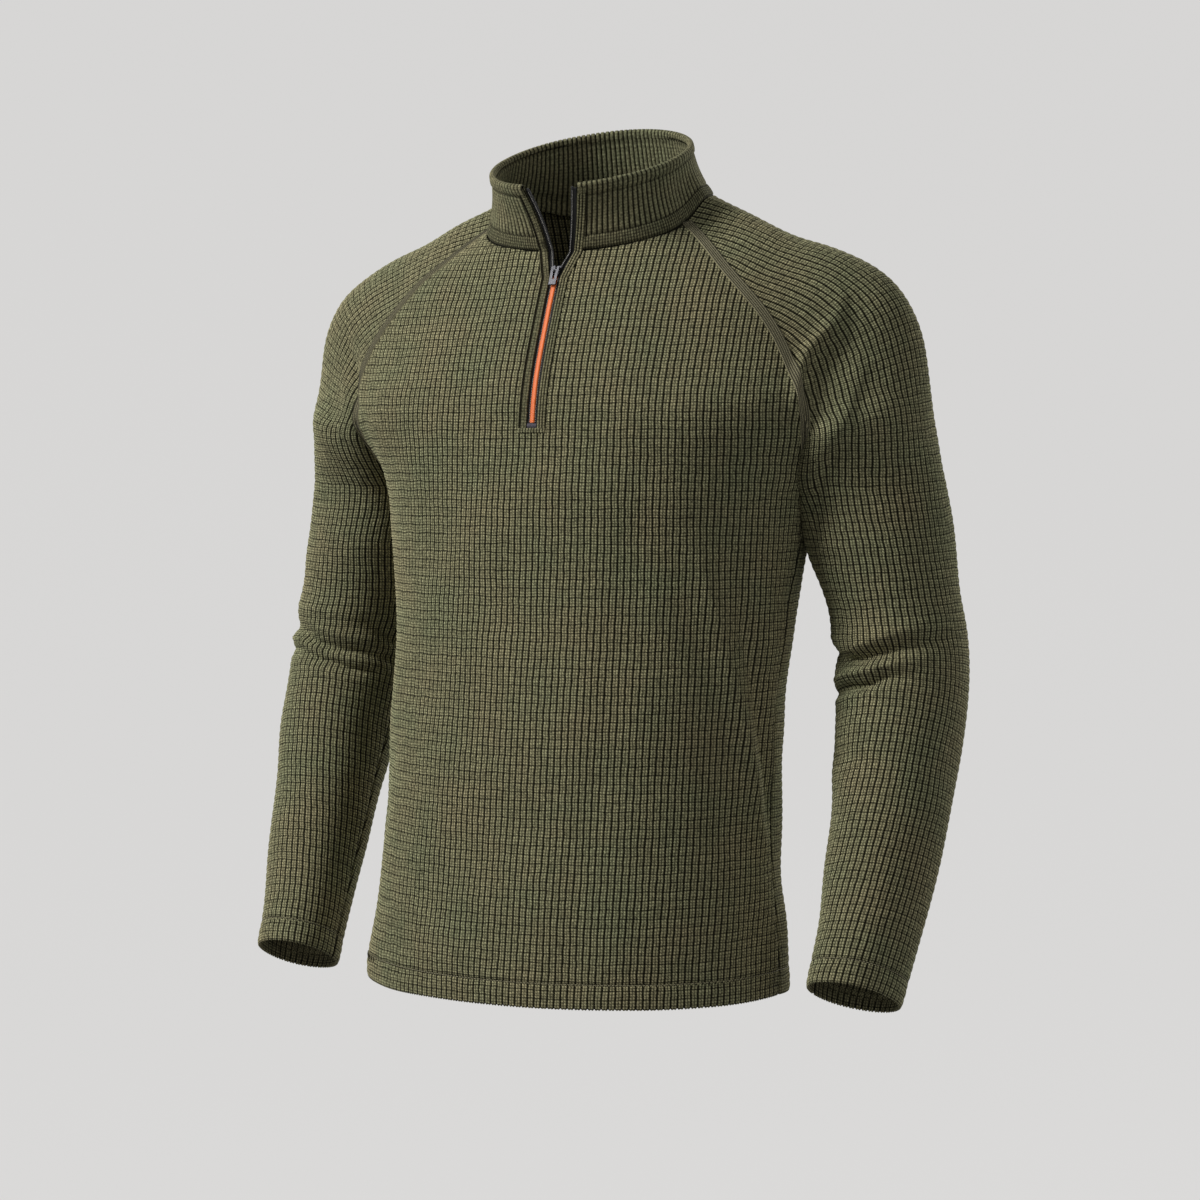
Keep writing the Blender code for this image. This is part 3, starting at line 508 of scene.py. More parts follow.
SLACK = (  # soft unevenness of the cloth: length of a wave in mm and its height in mm, by axis
    ((0.9, 0.3, 1.0), 92, 0.55),
    ((-0.5, 0.8, 0.7), 118, 0.60),
    ((0.3, -0.6, 1.0), 67, 0.35),
    ((1.0, 0.7, -0.2), 81, 0.40),
)


COLLAR_SLACK = 0.4  # the double cloth of the collar takes less of the slack
CALM_BY_ZIP = 30 * MM  # the zip holds the cloth beside it flat


def moved_out(piece, points):
    """How far folds and slack move points of a piece outward."""
    out = np.zeros(len(points))
    for k, (way, wave, height) in enumerate(SLACK):
        phase = points @ unit(np.array(way)) * 2 * math.pi / (wave * MM)
        out += height * MM * np.sin(phase + 1.7 * k + 0.9 * np.sin(0.61 * phase + k))
    for fold in all_folds:
        if piece not in fold.pieces:
            continue
        reach = 4.5 * fold.width.max()
        near = np.all((points > fold.line.min(0) - reach) & (points < fold.line.max(0) + reach), axis=1)
        if not near.any():
            continue
        distance, place, away = nearest_on(fold.line, points[near])
        order = np.arange(len(fold.line))
        depth, width = np.interp(place, order, fold.depth), np.interp(place, order, fold.width)
        if fold.lip:
            side = np.sign((away * fold.aside[place.astype(int)]).sum(-1))
            out[near] -= depth * lap_shape(side * distance / width, fold.lip)
        else:
            out[near] -= depth * fold_shape(distance / width)
    level, front = points[:, 2], points[:, 1] < 0
    by_zip = groove(points[:, 0], CALM_BY_ZIP) * ease((level + 0.235) / 0.03) * front
    return out * (1 - by_zip) * (COLLAR_SLACK if piece == "collar" else 1)


all_folds = folds_of_top()


# Rows of cloth
CLEARANCE = 0.3 * MM  # the least distance of a column from a row's end
COLUMN_PHASES = np.array([0.0, 0.25, 0.5, 0.75])
ROW_PHASES = np.array([0.0, 0.35, 0.65])
ROWS_APART = 0.04 * MM  # rows that lie nearer than this are one
# Of the knit's lines up and across, the outer face has all and the inner face one to a cell
FACES = (ROW_PHASES, COLUMN_PHASES), (ROW_PHASES[:1], COLUMN_PHASES[:1])
SIDES = (1, "left"), (-1, "right")


def lattice(phases, pitch, low, high):
    """The knit's lines between low and high: those of each cell at its phases."""
    cells = np.arange(math.floor(low / pitch) - 1, math.ceil(high / pitch) + 1)
    places = ((cells[:, None] + phases) * pitch).ravel()
    return places[(places > low + CLEARANCE) & (places < high - CLEARANCE)]


def grid_faces(ids):
    """The quads of a grid of vertex numbers."""
    corners = ids[:-1, :-1], ids[:-1, 1:], ids[1:, 1:], ids[1:, :-1]
    return np.stack(corners, axis=-1).reshape(-1, 4)


def corner_sums(points, faces, twin):
    """Area-weighted normals summed at the vertices, and the faces' whole area."""
    total, area = np.zeros_like(points), 0.0
    for part in faces:
        corners = points[part]
        if part.shape[1] == 4:
            normal = np.cross(corners[:, 2] - corners[:, 0], corners[:, 3] - corners[:, 1])
        else:
            normal = np.cross(corners[:, 1] - corners[:, 0], corners[:, 2] - corners[:, 0])
        area += np.linalg.norm(normal, axis=1).sum() / 2
        for corner in part.T:
            for axis in range(3):
                total[:, axis] += np.bincount(twin[corner], normal[:, axis], len(points))
    return total, area


class Cloth:
    """Rows of points that may end anywhere, with a vertex at each column between a row's ends.

    A row is its place up the cloth, the places across of a line's points, and the points.
    places holds each vertex's place across and up, the way the knit runs. twin is the vertex
    that stands for each, so that a tube closes."""

    def __init__(self, rows, columns):
        numbers = np.arange(-1, len(columns) + 1)
        points, places, ends, ids = [], [], [], []
        self.starts = [0]
        for up, across, line in rows:
            first = np.searchsorted(columns, across[0] + CLEARANCE)
            last = max(np.searchsorted(columns, across[-1] - CLEARANCE), first)
            at = np.concatenate([across[:1], columns[first:last], across[-1:]])
            points.append(read_along(across, line, at))
            places.append(np.stack([at, np.full(len(at), up)], axis=-1))
            ends.append(np.stack([at - across[0], across[-1] - at], axis=-1))
            ids.append(self.starts[-1] + np.clip(numbers - first + 1, 0, len(at) - 1))
            self.starts.append(self.starts[-1] + len(at))
        self.points, self.places = np.concatenate(points), np.concatenate(places)
        self.to_ends = np.concatenate(ends)
        self.twin = np.arange(len(self.points))
        # painted_shade: how much painted shade from seams and stitch lines each vertex gets, from 0 to
        # 1
        self.painted_shade = np.zeros(len(self.points))
        quads = grid_faces(np.array(ids))
        low, high = quads[:, 0] == quads[:, 1], quads[:, 2] == quads[:, 3]
        self.faces = [
            quads[~low & ~high],
            quads[~low & high][:, [0, 1, 2]],
            quads[low & ~high][:, [0, 2, 3]],
        ]
        self.find_normals()

    def find_normals(self):
        """The way out of the cloth at each vertex, and the cloth's area."""
        total, self.area = corner_sums(self.points, self.faces, self.twin)
        self.normals = unit(total)[self.twin]

    def whole_ends(self):
        """to_ends for every vertex; the turned rings count as edges."""
        rings = np.zeros((len(self.points) - len(self.to_ends), 2))
        return np.concatenate([self.to_ends, rings])

    def row(self, number):
        """The vertices of a row."""
        return np.arange(self.starts[number], self.starts[number + 1])

    def move_out(self, distances):
        """Move each vertex along its normal."""
        self.points = self.points + self.normals * distances[:, None]

    def drift(self):
        """Shift the knit's lines along the cloth, except at its edges and seams."""
        shift = drift(self.points)
        shift -= self.normals * (shift * self.normals).sum(-1, keepdims=True)
        inside = np.zeros(len(self.points))
        inside[: len(self.to_ends)] = ease(self.to_ends.min(axis=1) / (6 * MM))
        inside *= ease((self.places[:, 1] - 2 * MM) / (8 * MM)) * (np.abs(self.places[:, 0]) > 1 * MM)
        self.points = self.points + shift * inside[:, None]

    def add(self, points, places, normals, faces, twin, painted_shade=None):
        """Add vertices and faces after the ones there are."""
        self.points = np.concatenate([self.points, points])
        self.places = np.concatenate([self.places, places])
        self.normals = np.concatenate([self.normals, normals])
        self.twin = np.concatenate([self.twin, twin])
        self.faces = self.faces + faces
        self.painted_shade = np.concatenate([self.painted_shade, np.zeros(len(points)) if painted_shade is None else painted_shade])

    def add_ring(self, before, points, normals, gone, way):
        """Add a row next to another, below it where way is 1, above it where way is -1."""
        new = len(self.points) + np.arange(len(before))
        twin = new.copy()
        if self.twin[before[-1]] == before[0]:
            twin[-1] = new[0]
            points[-1], normals[-1] = points[0], normals[0]
        quads = grid_faces(np.array([new, before]))
        places = self.places[before] * [1, 0] + [0, gone]
        self.add(points, places, normals, [quads[:, ::way]], twin)
        return new

    def roll(self, number, wall, way):
        """Roll the cloth inward past a row; gives the last ring, the way on, and where it is."""
        ids = self.row(number)
        edge, normals = self.points[ids], self.normals[ids]
        onward = unit(np.cross(np.gradient(edge, axis=0), normals)) * way
        start, radius = self.places[ids[0], 1], wall / 2
        for angle in np.radians([30, 60, 90, 120, 150, 180]):
            sine, cosine = math.sin(angle), math.cos(angle)
            points = edge + onward * radius * sine - normals * radius * (1 - cosine)
            gone = start - way * radius * angle
            ids = self.add_ring(ids, points, normals * cosine + onward * sine, gone, way)
        return ids, onward, gone

    def turn_under(self, wall, depth):
        """Roll the first row inward and run it back up the inside."""
        ids, onward, gone = self.roll(0, wall, 1)
        points, normals = self.points[ids], self.normals[ids]
        for back in (depth / 2, depth):
            ids = self.add_ring(ids, points - onward * back, normals.copy(), gone - back, 1)

    def line_inside(self, walls):
        """Roll the last row inward and run it down behind the others, each row by its own wall."""
        last = len(self.starts) - 2
        ids, _, gone = self.roll(last, walls[-1], -1)
        top = self.places[self.row(last)[0], 1]
        for number in range(last - 1, -1, -1):
            row = self.row(number)
            down = top - self.places[row[0], 1]
            points = self.points[row] - self.normals[row] * walls[number]
            ids = self.add_ring(ids, points, -self.normals[row], gone + down, -1)


def joined(left, right):
    """Two halves as one cloth, with each vertex on the centre line shared."""
    count = len(left.points)
    a, b = [np.flatnonzero(np.abs(half.places[:, 0]) < 1e-9) for half in (left, right)]
    left.points[a] = right.points[b] = (left.points[a] + right.points[b]) / 2
    twin = right.twin + count
    twin[b] = a
    faces = [part + count for part in right.faces]
    left.area += right.area
    left.to_ends = np.concatenate([left.whole_ends(), right.whole_ends()])
    left.add(right.points, right.places, right.normals, faces, twin, right.painted_shade)
    return left


def relief(places, cell, depth, courses=0.35, middle=0.6):
    """How deep the knit's grooves are at places: two ribs to a cell, parted by a fainter line.
    Cells differ a little in depth. courses is how deep the grooves across the ribs are, and
    middle the line between a cell's two ribs."""
    column, row = np.floor(places / cell).T
    uneven = 1 + 0.16 * np.sin(12.9898 * column + 4.1414 * row)
    uneven += 0.1 * np.sin(7.233 * row - 3.1 * column)
    within = np.mod(places / cell, 1)
    across = np.interp(within[:, 0], [0, *COLUMN_PHASES[1:], 1], [1, 0, middle, 0, 1])
    up = np.interp(within[:, 1], [0, *ROW_PHASES[1:], 1], [courses, 0, 0, courses])
    return depth * np.maximum(across * uneven, up)


def drift(points):
    """How far hand and washing have shifted the knit's lines from straight."""
    ways = np.array([(0.2, 0.3, 1.0), (1.0, -0.4, 0.3), (-0.6, 1.0, 0.5), (0.5, 0.7, -0.9)])
    waves = 17, 23, 31, 12
    shifts = (0.18, 0.1, 0.28), (0.12, 0.2, -0.25), (-0.12, 0.2, 0.20), (0.1, -0.1, 0.10)
    total = np.zeros_like(points)
    for k, (way, wave, shift) in enumerate(zip(ways, waves, shifts)):
        phase = points @ unit(way) * 2 * math.pi / (wave * MM) + 2.1 * k
        total += np.sin(phase + 1.3 * np.sin(0.37 * phase))[:, None] * np.array(shift) * MM
    return total


def put_in_scene(name, data):
    """An object of a mesh, a light or a camera, in the scene."""
    thing = bpy.data.objects.new(name, data)
    bpy.context.scene.collection.objects.link(thing)
    return thing


def new_object(name, points, faces, places, material, twin=None):
    """A mesh object with its map of places, in metres, as the UV map that the knit follows."""
    if twin is not None:
        used, inverse = np.unique(twin, return_inverse=True)
        points = points[used]
    counts = np.concatenate([np.full(len(part), part.shape[1]) for part in faces])
    loops = np.concatenate([part.ravel() for part in faces])
    corners = loops if twin is None else inverse[loops]
    mesh = bpy.data.meshes.new(name)
    mesh.vertices.add(len(points))
    mesh.vertices.foreach_set("co", points.astype(np.float32).ravel())
    mesh.loops.add(len(loops))
    mesh.loops.foreach_set("vertex_index", corners.astype(np.int32))
    mesh.polygons.add(len(counts))
    mesh.polygons.foreach_set("loop_start", (np.cumsum(counts) - counts).astype(np.int32))
    if places is not None:
        layer = mesh.uv_layers.new(name=CLOTH_MAP)
        layer.uv.foreach_set("vector", places[loops].astype(np.float32).ravel())
    mesh.update(calc_edges=True)
    mesh.validate()
    mesh.materials.append(material)
    mesh.shade_smooth()
    return put_in_scene(name, mesh)


def store_painted_seam_shade(thing, cloth):
    """Store how deep in a seam each vertex lies, as painted shade for the knit to darken its colour by.
    """
    used = np.unique(cloth.twin)
    marks = thing.data.attributes.new(PAINTED_SHADE_ATTRIBUTE, "FLOAT", "POINT")
    marks.data.foreach_set("value", cloth.painted_shade[used].astype(np.float32))


def belong(thing, node=None, body="top"):
    """Let a piece ride on a body and stand for a CAD node."""
    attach(thing, body)
    if node:
        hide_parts(node)


def hex_colour(text):
    """A linear colour from an sRGB hex value."""
    parts = [int(text[k : k + 2], 16) / 255 for k in (1, 3, 5)]
    return tuple(c / 12.92 if c <= 0.04045 else ((c + 0.055) / 1.055) ** 2.4 for c in parts) + (1.0,)


# Pieces of cloth
HEM_STITCH = 20.0 * MM  # up from the edge
HEM_DIP = 1.3 * MM  # how far the cloth dips beside that stitch line
STITCH_ROWS = HEM_STITCH + np.array([-1, 0, 1]) * HEM_DIP
COLLAR_BAND = 12.5 * MM  # the collar's flatter base, up from the neck seam
COLLAR_RIB = 5.2 * MM  # the collar is knitted in plain ribs
ROLL_STANDS = 1.4 * MM  # how much its rolled top stands out on either side
ROLL_RISE = 3.5 * MM  # over this height the roll swells out
COLLAR_STITCH = 8.0 * MM  # down from the collar's top edge
WELT_WIDE = 8.0 * MM  # the turned edge of the opening, out to its stitching
WELT_RIB = 2.7 * MM
FOOT_TALL = 4.6 * MM
SEAM_DIP = 1.2 * MM  # how deep a seam lies in the cloth
SEAM_WIDE = 1.4 * MM
ELBOW = 0.470, 0.560  # along the sleeve, where creases call for more rows


def band_swell(up, tall):
    """How a band between an edge and a stitch line swells out, from 0 to 1."""
    return np.where(up < tall, np.sin(np.pi * np.clip(up / tall, 0, 1)), 0)


def hem_shape(up):
    """The turned-up edge stands a little proud below its stitch line."""
    band = band_swell(up, HEM_STITCH)
    return 0.4 * MM * band - 0.7 * MM * groove(up - HEM_STITCH, HEM_DIP)


def panel_line(side, level, split):
    """The left half of a row of a panel: places across and points, from the centre outward."""
    rise = HEM_SIDE_RISE * ease((UNDERARM_Z - level) / (UNDERARM_Z - HEM_Z))
    across = np.linspace(0, 1, 240)
    line = panel_point(side, across, level + rise * across**2)
    gone = gone_along(line)
    neck, top = NECK_Z[side], YOKE[side].keys[-1]
    inner = math.sqrt(max(level - neck, 0) / (top - neck))
    if split:
        inner = max(inner, float(across_of(side, slit_half(level), level)))
    start = np.interp(inner, across, gone)
    keep = gone > start + 1e-7
    return np.append(start, gone[keep]), np.concatenate([resample(line, [start]), line[keep]])


def panel_rows(side, phases, cell_tall):
    """Rows of a panel's left half, from the hem to the neck."""
    top = YOKE[side].keys[-1]
    levels = np.linspace(HEM_Z, top, 500)
    spine = np.stack([0 * levels, CENTRE.at(side, levels), levels], axis=-1)
    ups = gone_along(spine)
    wanted = [HEM_Z, *np.interp(lattice(phases, cell_tall, 0, ups[-1]), ups, levels)]
    wanted += [NECK_Z[side] + step * MM for step in (0.05, 0.3, 0.9, 1.8)] + [top - CLEARANCE]
    wanted += list(np.interp(STITCH_ROWS, ups, levels))
    splits = [side == "front" and level > SLIT_BOTTOM_Z for level in wanted]
    if side == "front":
        wanted += [SLIT_BOTTOM_Z, SLIT_BOTTOM_Z + 0.1 * MM]
        splits += [False, True]
    rows = []
    for level, split in sorted(zip(wanted, splits)):
        if not rows or level - rows[-1][0] > ROWS_APART:
            rows.append((level, split))
    return [(np.interp(level, levels, ups), *panel_line(side, level, split)) for level, split in rows]


def painted_seam_shade(cloth):
    """How deep in a seam or stitch line each vertex lies, from 0 to 1: little light gets there, so this
    is painted shade on the knit's colour.
    """
    ends = groove(cloth.to_ends.min(axis=1), 0.9 * MM) * (np.abs(cloth.places[:, 0]) > 60 * MM)
    return np.maximum(ends, 0.8 * groove(cloth.places[:, 1] - HEM_STITCH, 0.7 * MM))


def slack_behind(folded):
    """The inner face is coarser, so it keeps further back where the outer one is folded."""
    return 2.5 * MM * ease((np.abs(folded) - 1 * MM) / (2 * MM))


def opposite(rows):
    """The same rows on the other side of the centre line."""
    return [(up, -across[::-1], line[::-1] * [-1, 1, 1]) for up, across, line in rows]


def panel_shape(side, cloth):
    """How far seams and stitching move a panel's half in and out."""
    up = cloth.places[:, 1]
    level = cloth.points[:, 2]
    out = hem_shape(up)
    to_side = np.where(np.abs(cloth.places[:, 0]) > 0.08, cloth.to_ends.min(axis=1), 1)
    out -= SEAM_DIP * groove(to_side, SEAM_WIDE) * ease((UNDERARM_Z + 0.004 - level) / 0.008)
    if side == "front":
        to_slit = np.abs(cloth.points[:, 0]) - slit_half(level)
        beside = (level > SLIT_BOTTOM_Z - 1 * MM) & (to_slit < WELT_WIDE)
        out -= np.where(beside, 0.5 * MM, 0)
    return out


def make_panel(side, settings):
    """The front or back: its outer face with turned-up hem, and its inner face."""
    cell = settings.cell_wide, settings.cell_tall
    # The back's rows run the other way, so that its outer face is outside
    flip = np.array([1 if side == "front" else -1, 1, 1])
    made = []
    for phases, column_phases in FACES:
        rows = [(up, across, line * flip) for up, across, line in panel_rows(side, phases, cell[1])]
        halves = []
        for own in (rows, opposite(rows)):
            reach = max(np.abs(row[1]).max() for row in rows)
            half = Cloth(own, lattice(column_phases, cell[0], -reach, reach))
            folded = moved_out(side, half.points)
            # Painted shade in the seams and in the hem's stitch line
            half.painted_shade = painted_seam_shade(half)
            half.move_out(folded + panel_shape(side, half) - bool(made) * slack_behind(folded))
            half.find_normals()
            if not made:
                half.turn_under(HEM_WALL, HEM_DEPTH)
            halves.append(half)
        made.append(joined(*halves))
    finish_cloth(side, made, cell, settings)
    width = 2 * max(np.abs(row[1]).max() for row in rows)
    return made[0], (width, rows[-1][0] + HEM_DEPTH)


def finish_cloth(name, made, cell, settings):
    """Cut the knit into the outer face, set the inner one behind it and make their objects."""
    outer, inner = made
    outer.form = outer.points
    outer.move_out(-relief(outer.places, cell, settings.groove))
    outer.drift()
    inner.move_out(np.full(len(inner.points), -WALL))
    inner.faces = [part[:, ::-1] for part in inner.faces]
    knit = material_named("knit")
    face = new_object(name + "_knit", outer.points, outer.faces, outer.places, knit, outer.twin)
    # Painted seam shade, stored for the knit to darken its colour by
    store_painted_seam_shade(face, outer)
    back = new_object(name + "_inside", inner.points, inner.faces, inner.places, knit, inner.twin)
    belong(face, name)
    belong(back)
    outer.object, outer.inside = face, back


def sleeve_rows(phases, cell_tall, side):
    """Rows of a sleeve from the cuff to the neck, and which of them close round the arm."""
    everywhere = lattice(phases, cell_tall, 0, CUFF_ALONG)
    between = np.array([0.17, 0.5, 0.83])
    at_elbow = lattice(between, cell_tall, CUFF_ALONG - ELBOW[1], CUFF_ALONG - ELBOW[0])
    ups = np.concatenate([[0, CUFF_ALONG], everywhere, STITCH_ROWS, at_elbow])
    rows, closed = [], []
    for up in np.sort(ups):
        along = CUFF_ALONG - up
        line = sleeve_round(along)
        gone = gone_along(line)
        across = gone - gone[len(line) // 2]
        rows.append((up, across, line))
        closed.append(along >= UNDERARM_ALONG - 1e-6)
    return (rows if side > 0 else opposite(rows)), closed


def make_sleeve(name, side, settings):
    """A sleeve: its outer face with turned-up cuff, and its inner face."""
    cell = settings.cell_wide, settings.cell_tall
    made = []
    for phases, column_phases in FACES:
        rows, closed = sleeve_rows(phases, cell[1], side)
        reach = max(np.abs(row[1]).max() for row in rows)
        cloth = Cloth(rows, lattice(column_phases, cell[0], -reach, reach))
        for number in np.flatnonzero(closed):
            ids = cloth.row(number)
            cloth.twin[ids[-1]] = ids[0]
        cloth.find_normals()
        below = ease((CUFF_ALONG - UNDERARM_ALONG + 0.004 - cloth.places[:, 1]) / 0.008)
        seam = SEAM_DIP * groove(cloth.to_ends.min(axis=1), SEAM_WIDE) * below
        # Painted shade in the seams and in the cuff's stitch line
        cloth.painted_shade = painted_seam_shade(cloth)
        folded = moved_out(name, cloth.points)
        shape = hem_shape(cloth.places[:, 1]) - seam
        cloth.move_out(folded + shape - bool(made) * slack_behind(folded))
        cloth.find_normals()
        if not made:
            cloth.turn_under(HEM_WALL, HEM_DEPTH)
        made.append(cloth)
    finish_cloth(name, made, cell, settings)
    return made[0], (2 * reach, CUFF_ALONG + HEM_DEPTH)


def collar_shape(up):
    """The collar's pressed base band, its rolled top, and the dips of its seam and stitching."""
    band = band_swell(up, COLLAR_BAND)
    out = 0.5 * MM * band - 1.8 * MM * groove(up, 1.3 * MM)
    out -= 0.7 * MM * groove(up - COLLAR_BAND, 1.2 * MM)
    out += ROLL_STANDS * ease((up - COLLAR_TALL + COLLAR_STITCH) / ROLL_RISE)
    out -= 0.6 * MM * groove(up - COLLAR_TALL + COLLAR_STITCH, 1.3 * MM)
    return np.where(up < 0, -2.5 * MM, out)


def make_collar(settings):
    """The stand collar: one folded cloth, up the outside, over the top edge and down inside."""
    cell = COLLAR_RIB, settings.cell_tall
    inner_rows = lattice(ROW_PHASES, cell[1], 0, COLLAR_TALL)
    steps = np.array([-1, 0, 1]) * SEAM_WIDE
    dips = [COLLAR_BAND + steps, COLLAR_TALL - COLLAR_STITCH + steps, [COLLAR_TALL - ROLL_RISE]]
    ups = np.concatenate([[-5 * MM, 0, 1.5 * MM], inner_rows, *dips, [COLLAR_TALL]])
    ups = np.sort(ups)[np.append(True, np.diff(np.sort(ups)) > CLEARANCE)]
    across = gone_along(collar_base_line)
    across = across - across[-1]
    rows = [(up, across, collar_row(up / COLLAR_TALL)) for up in ups]
    walls = COLLAR_WALL + 2 * ROLL_STANDS * ease((ups - COLLAR_TALL + COLLAR_STITCH) / ROLL_RISE)
    halves = []
    for own in (rows, opposite(rows)):
        half = Cloth(own, lattice(COLUMN_PHASES, cell[0], -abs(across[0]), abs(across[0])))
        up = half.places[:, 1]
        # Painted shade along the neck seam, the band's top edge and the top stitching
        half.painted_shade = np.maximum(groove(up, 1.2 * MM), 0.6 * groove(up - COLLAR_BAND, 1.0 * MM))
        half.painted_shade += 0.4 * groove(up - COLLAR_TALL + COLLAR_STITCH, 1.0 * MM)
        half.move_out(moved_out("collar", half.points) + collar_shape(up))
        half.find_normals()
        half.line_inside(walls)
        halves.append(half)
    cloth = joined(*halves)
    from_seam = np.minimum(cloth.places[:, 1], 2 * COLLAR_TALL + 5 * MM - cloth.places[:, 1])
    flat = 0.25 + 0.75 * ease((from_seam - COLLAR_BAND + 1 * MM) / (2 * MM))
    cloth.form = cloth.points
    cloth.move_out(-relief(cloth.places, cell, settings.groove, courses=0.0, middle=0.15) * flat)
    thing = new_object(
        "collar_knit", cloth.points, cloth.faces, cloth.places, material_named("rib"), cloth.twin
    )
    # Painted seam shade, stored for the knit to darken its colour by
    store_painted_seam_shade(thing, cloth)
    thing.data.materials.append(material_named("collar band"))
    heights = [cloth.places[part[:, :3], 1].mean(axis=1) for part in cloth.faces]
    in_band = np.concatenate(heights) < COLLAR_BAND
    thing.data.polygons.foreach_set("material_index", in_band.astype(np.int32))
    belong(thing, "collar")
    cloth.object = thing
    return cloth, (2 * abs(across[0]), 2 * COLLAR_TALL)


# Strips, threads and teeth
BAND_WIDE = 9.5 * MM  # the cover stitch over a raglan seam
BAND_THREADS = 5
BAND_STEP = 1.6 * MM  # a stitch's length along the seam
THREAD = 0.75 * MM
STITCH_PITCH = 3.2 * MM
STITCH_LONG = 2.6 * MM
STITCH_LIFT = 0.1 * MM


def strip(name, grid, across, along, material, closed=False):
    """A strip of quads over a grid of points, its rows along it and its places in metres."""
    rows, columns = grid.shape[:2]
    ids = np.arange(rows * columns).reshape(rows, columns)
    if closed:
        ids = np.concatenate([ids, ids[:, :1]], axis=1)
    faces = [grid_faces(ids)]
    if closed:
        faces += [ids[:1, -2::-1], ids[-1:, :-1]]
    places = np.stack(np.broadcast_arrays(across[None, :], along[:, None]), axis=-1).reshape(-1, 2)
    return new_object(name, grid.reshape(-1, 3), faces, places, material)


def across_way(towards, tangent):
    """The part of a way that is square to a line's tangent."""
    return unit(towards - tangent * (towards * tangent).sum(-1, keepdims=True))


def raglan_line(side):
    """Stations down a left raglan seam: points, and the ways into the panel and the sleeve."""
    alongs = np.linspace(0.0005, UNDERARM_ALONG - 0.001, 240)
    levels = SHOULDER.at(side + "_z", alongs)
    seam = panel_point(side, 1.0, levels)
    total = gone_along(seam)[-1]
    places = np.linspace(0, total, round(total / BAND_STEP) + 1)
    alongs = np.interp(places, gone_along(seam), alongs)
    levels = SHOULDER.at(side + "_z", alongs)
    seam = panel_point(side, 1.0, levels)
    tangent = unit(np.gradient(seam, axis=0))
    into_panel = panel_point(side, 0.96, levels) - seam
    into_sleeve = []
    for along in alongs:
        line = sleeve_round(float(along))
        line = line if side == "front" else line[::-1]
        into_sleeve.append(resample(line, [5 * MM])[0] - line[0])
    into_sleeve = across_way(np.array(into_sleeve), tangent)
    return seam, tangent, across_way(into_panel, tangent), into_sleeve, places


def make_band(name, side, mirror):
    """The cover stitch over one raglan seam: parallel threads that lie on panel and sleeve."""
    seam, tangent, left, right, places = raglan_line(side)
    out_left, out_right = np.cross(left, tangent), np.cross(tangent, right)
    if side == "back":
        out_left, out_right = -out_left, -out_right
    across = np.linspace(-BAND_WIDE / 2, BAND_WIDE / 2, 4 * BAND_THREADS + 1)
    bend = 1.2 * MM
    to_left = (np.sqrt(across**2 + bend**2) - across) / 2
    to_right = (np.sqrt(across**2 + bend**2) + across) / 2
    share = ease((across + 2 * MM) / (4 * MM))[None, :, None]
    ridges = np.abs(np.sin(np.linspace(0, BAND_THREADS * math.pi, len(across))))
    lift = (0.1 + 0.9 * ridges) * MM
    lift[[0, -1]] = -0.7 * MM
    grid = seam[:, None] + left[:, None] * to_left[None, :, None]
    grid = grid + right[:, None] * to_right[None, :, None]
    out = unit(out_left[:, None] * (1 - share) + out_right[:, None] * share)
    flip = np.array([mirror, 1, 1])
    grid, out = grid * flip, out * flip
    moved = moved_out(side, grid.reshape(-1, 3)).reshape(grid.shape[:2])
    turns = places[:, None] / (2 * BAND_STEP) + across / BAND_WIDE * 3
    twist = 0.12 * MM * np.sin(2 * math.pi * turns)
    grid = grid + out * (moved + lift + twist * (ridges > 0.5))[..., None]
    if (side == "back") != (mirror < 0):
        grid = grid[:, ::-1]
    belong(strip(name, grid[::-1], across, places, material_named("cover stitch")))


def beads(name, centres, ways, outs, size, material, sides=6):
    """Short rounded lengths of thread or metal, each centred on a point: size is length,
    width and height."""
    rings = np.array([(-0.5, 0.35), (-0.36, 0.85), (0.0, 1.0), (0.36, 0.85), (0.5, 0.35)])
    turns = np.arange(sides) * 2 * math.pi / sides
    along = rings[:, :1] * np.ones(sides)
    wide = rings[:, 1:] * np.cos(turns) / 2
    tall = rings[:, 1:] * np.sin(turns) / 2
    asides = np.cross(outs, ways)
    parts = [
        along[None, :, :, None] * ways[:, None, None] * size[0],
        wide[None, :, :, None] * asides[:, None, None] * size[1],
        tall[None, :, :, None] * outs[:, None, None] * size[2],
    ]
    points = centres[:, None, None] + parts[0] + parts[1] + parts[2]
    ids = np.arange(points[..., 0].size).reshape(points.shape[:3])
    after = np.roll(ids, -1, axis=2)
    quads = np.stack([ids[:, :-1], after[:, :-1], after[:, 1:], ids[:, 1:]], axis=-1).reshape(-1, 4)
    caps = [ids[:, 0, ::-1], ids[:, -1]]
    return new_object(name, points.reshape(-1, 3), [quads[:, ::-1], *caps], None, material)


def stitch_line(line, outs, pitch):
    """Centres, ways and outward ways of stitches along a line."""
    gone = gone_along(line)
    count = max(int(gone[-1] / pitch), 1)
    places = (np.arange(count) + 0.5) * gone[-1] / count
    centres = resample(line, places)
    ways = unit(resample(line, places + 0.2 * pitch) - resample(line, places - 0.2 * pitch))
    return centres, ways, across_way(unit(read_along(gone, outs, places)), ways)


def line_at(cloth, up):
    """The cloth's vertices at a place up, in order round it, and their normals."""
    ids = np.flatnonzero(np.abs(cloth.places[: len(cloth.form), 1] - up) < 1e-7)
    ids = ids[np.argsort(cloth.places[ids, 0], kind="stable")]
    return cloth.form[ids], cloth.normals[ids]


def make_stitches(name, lines, pitch, size, look="thread"):
    """Stitches along one or more lines as one object."""
    parts = [stitch_line(line + outs * STITCH_LIFT, outs, pitch) for line, outs in lines]
    centres, ways, outs = (np.concatenate(column) for column in zip(*parts))
    belong(beads(name, centres, ways, outs, size, material_named(look)))


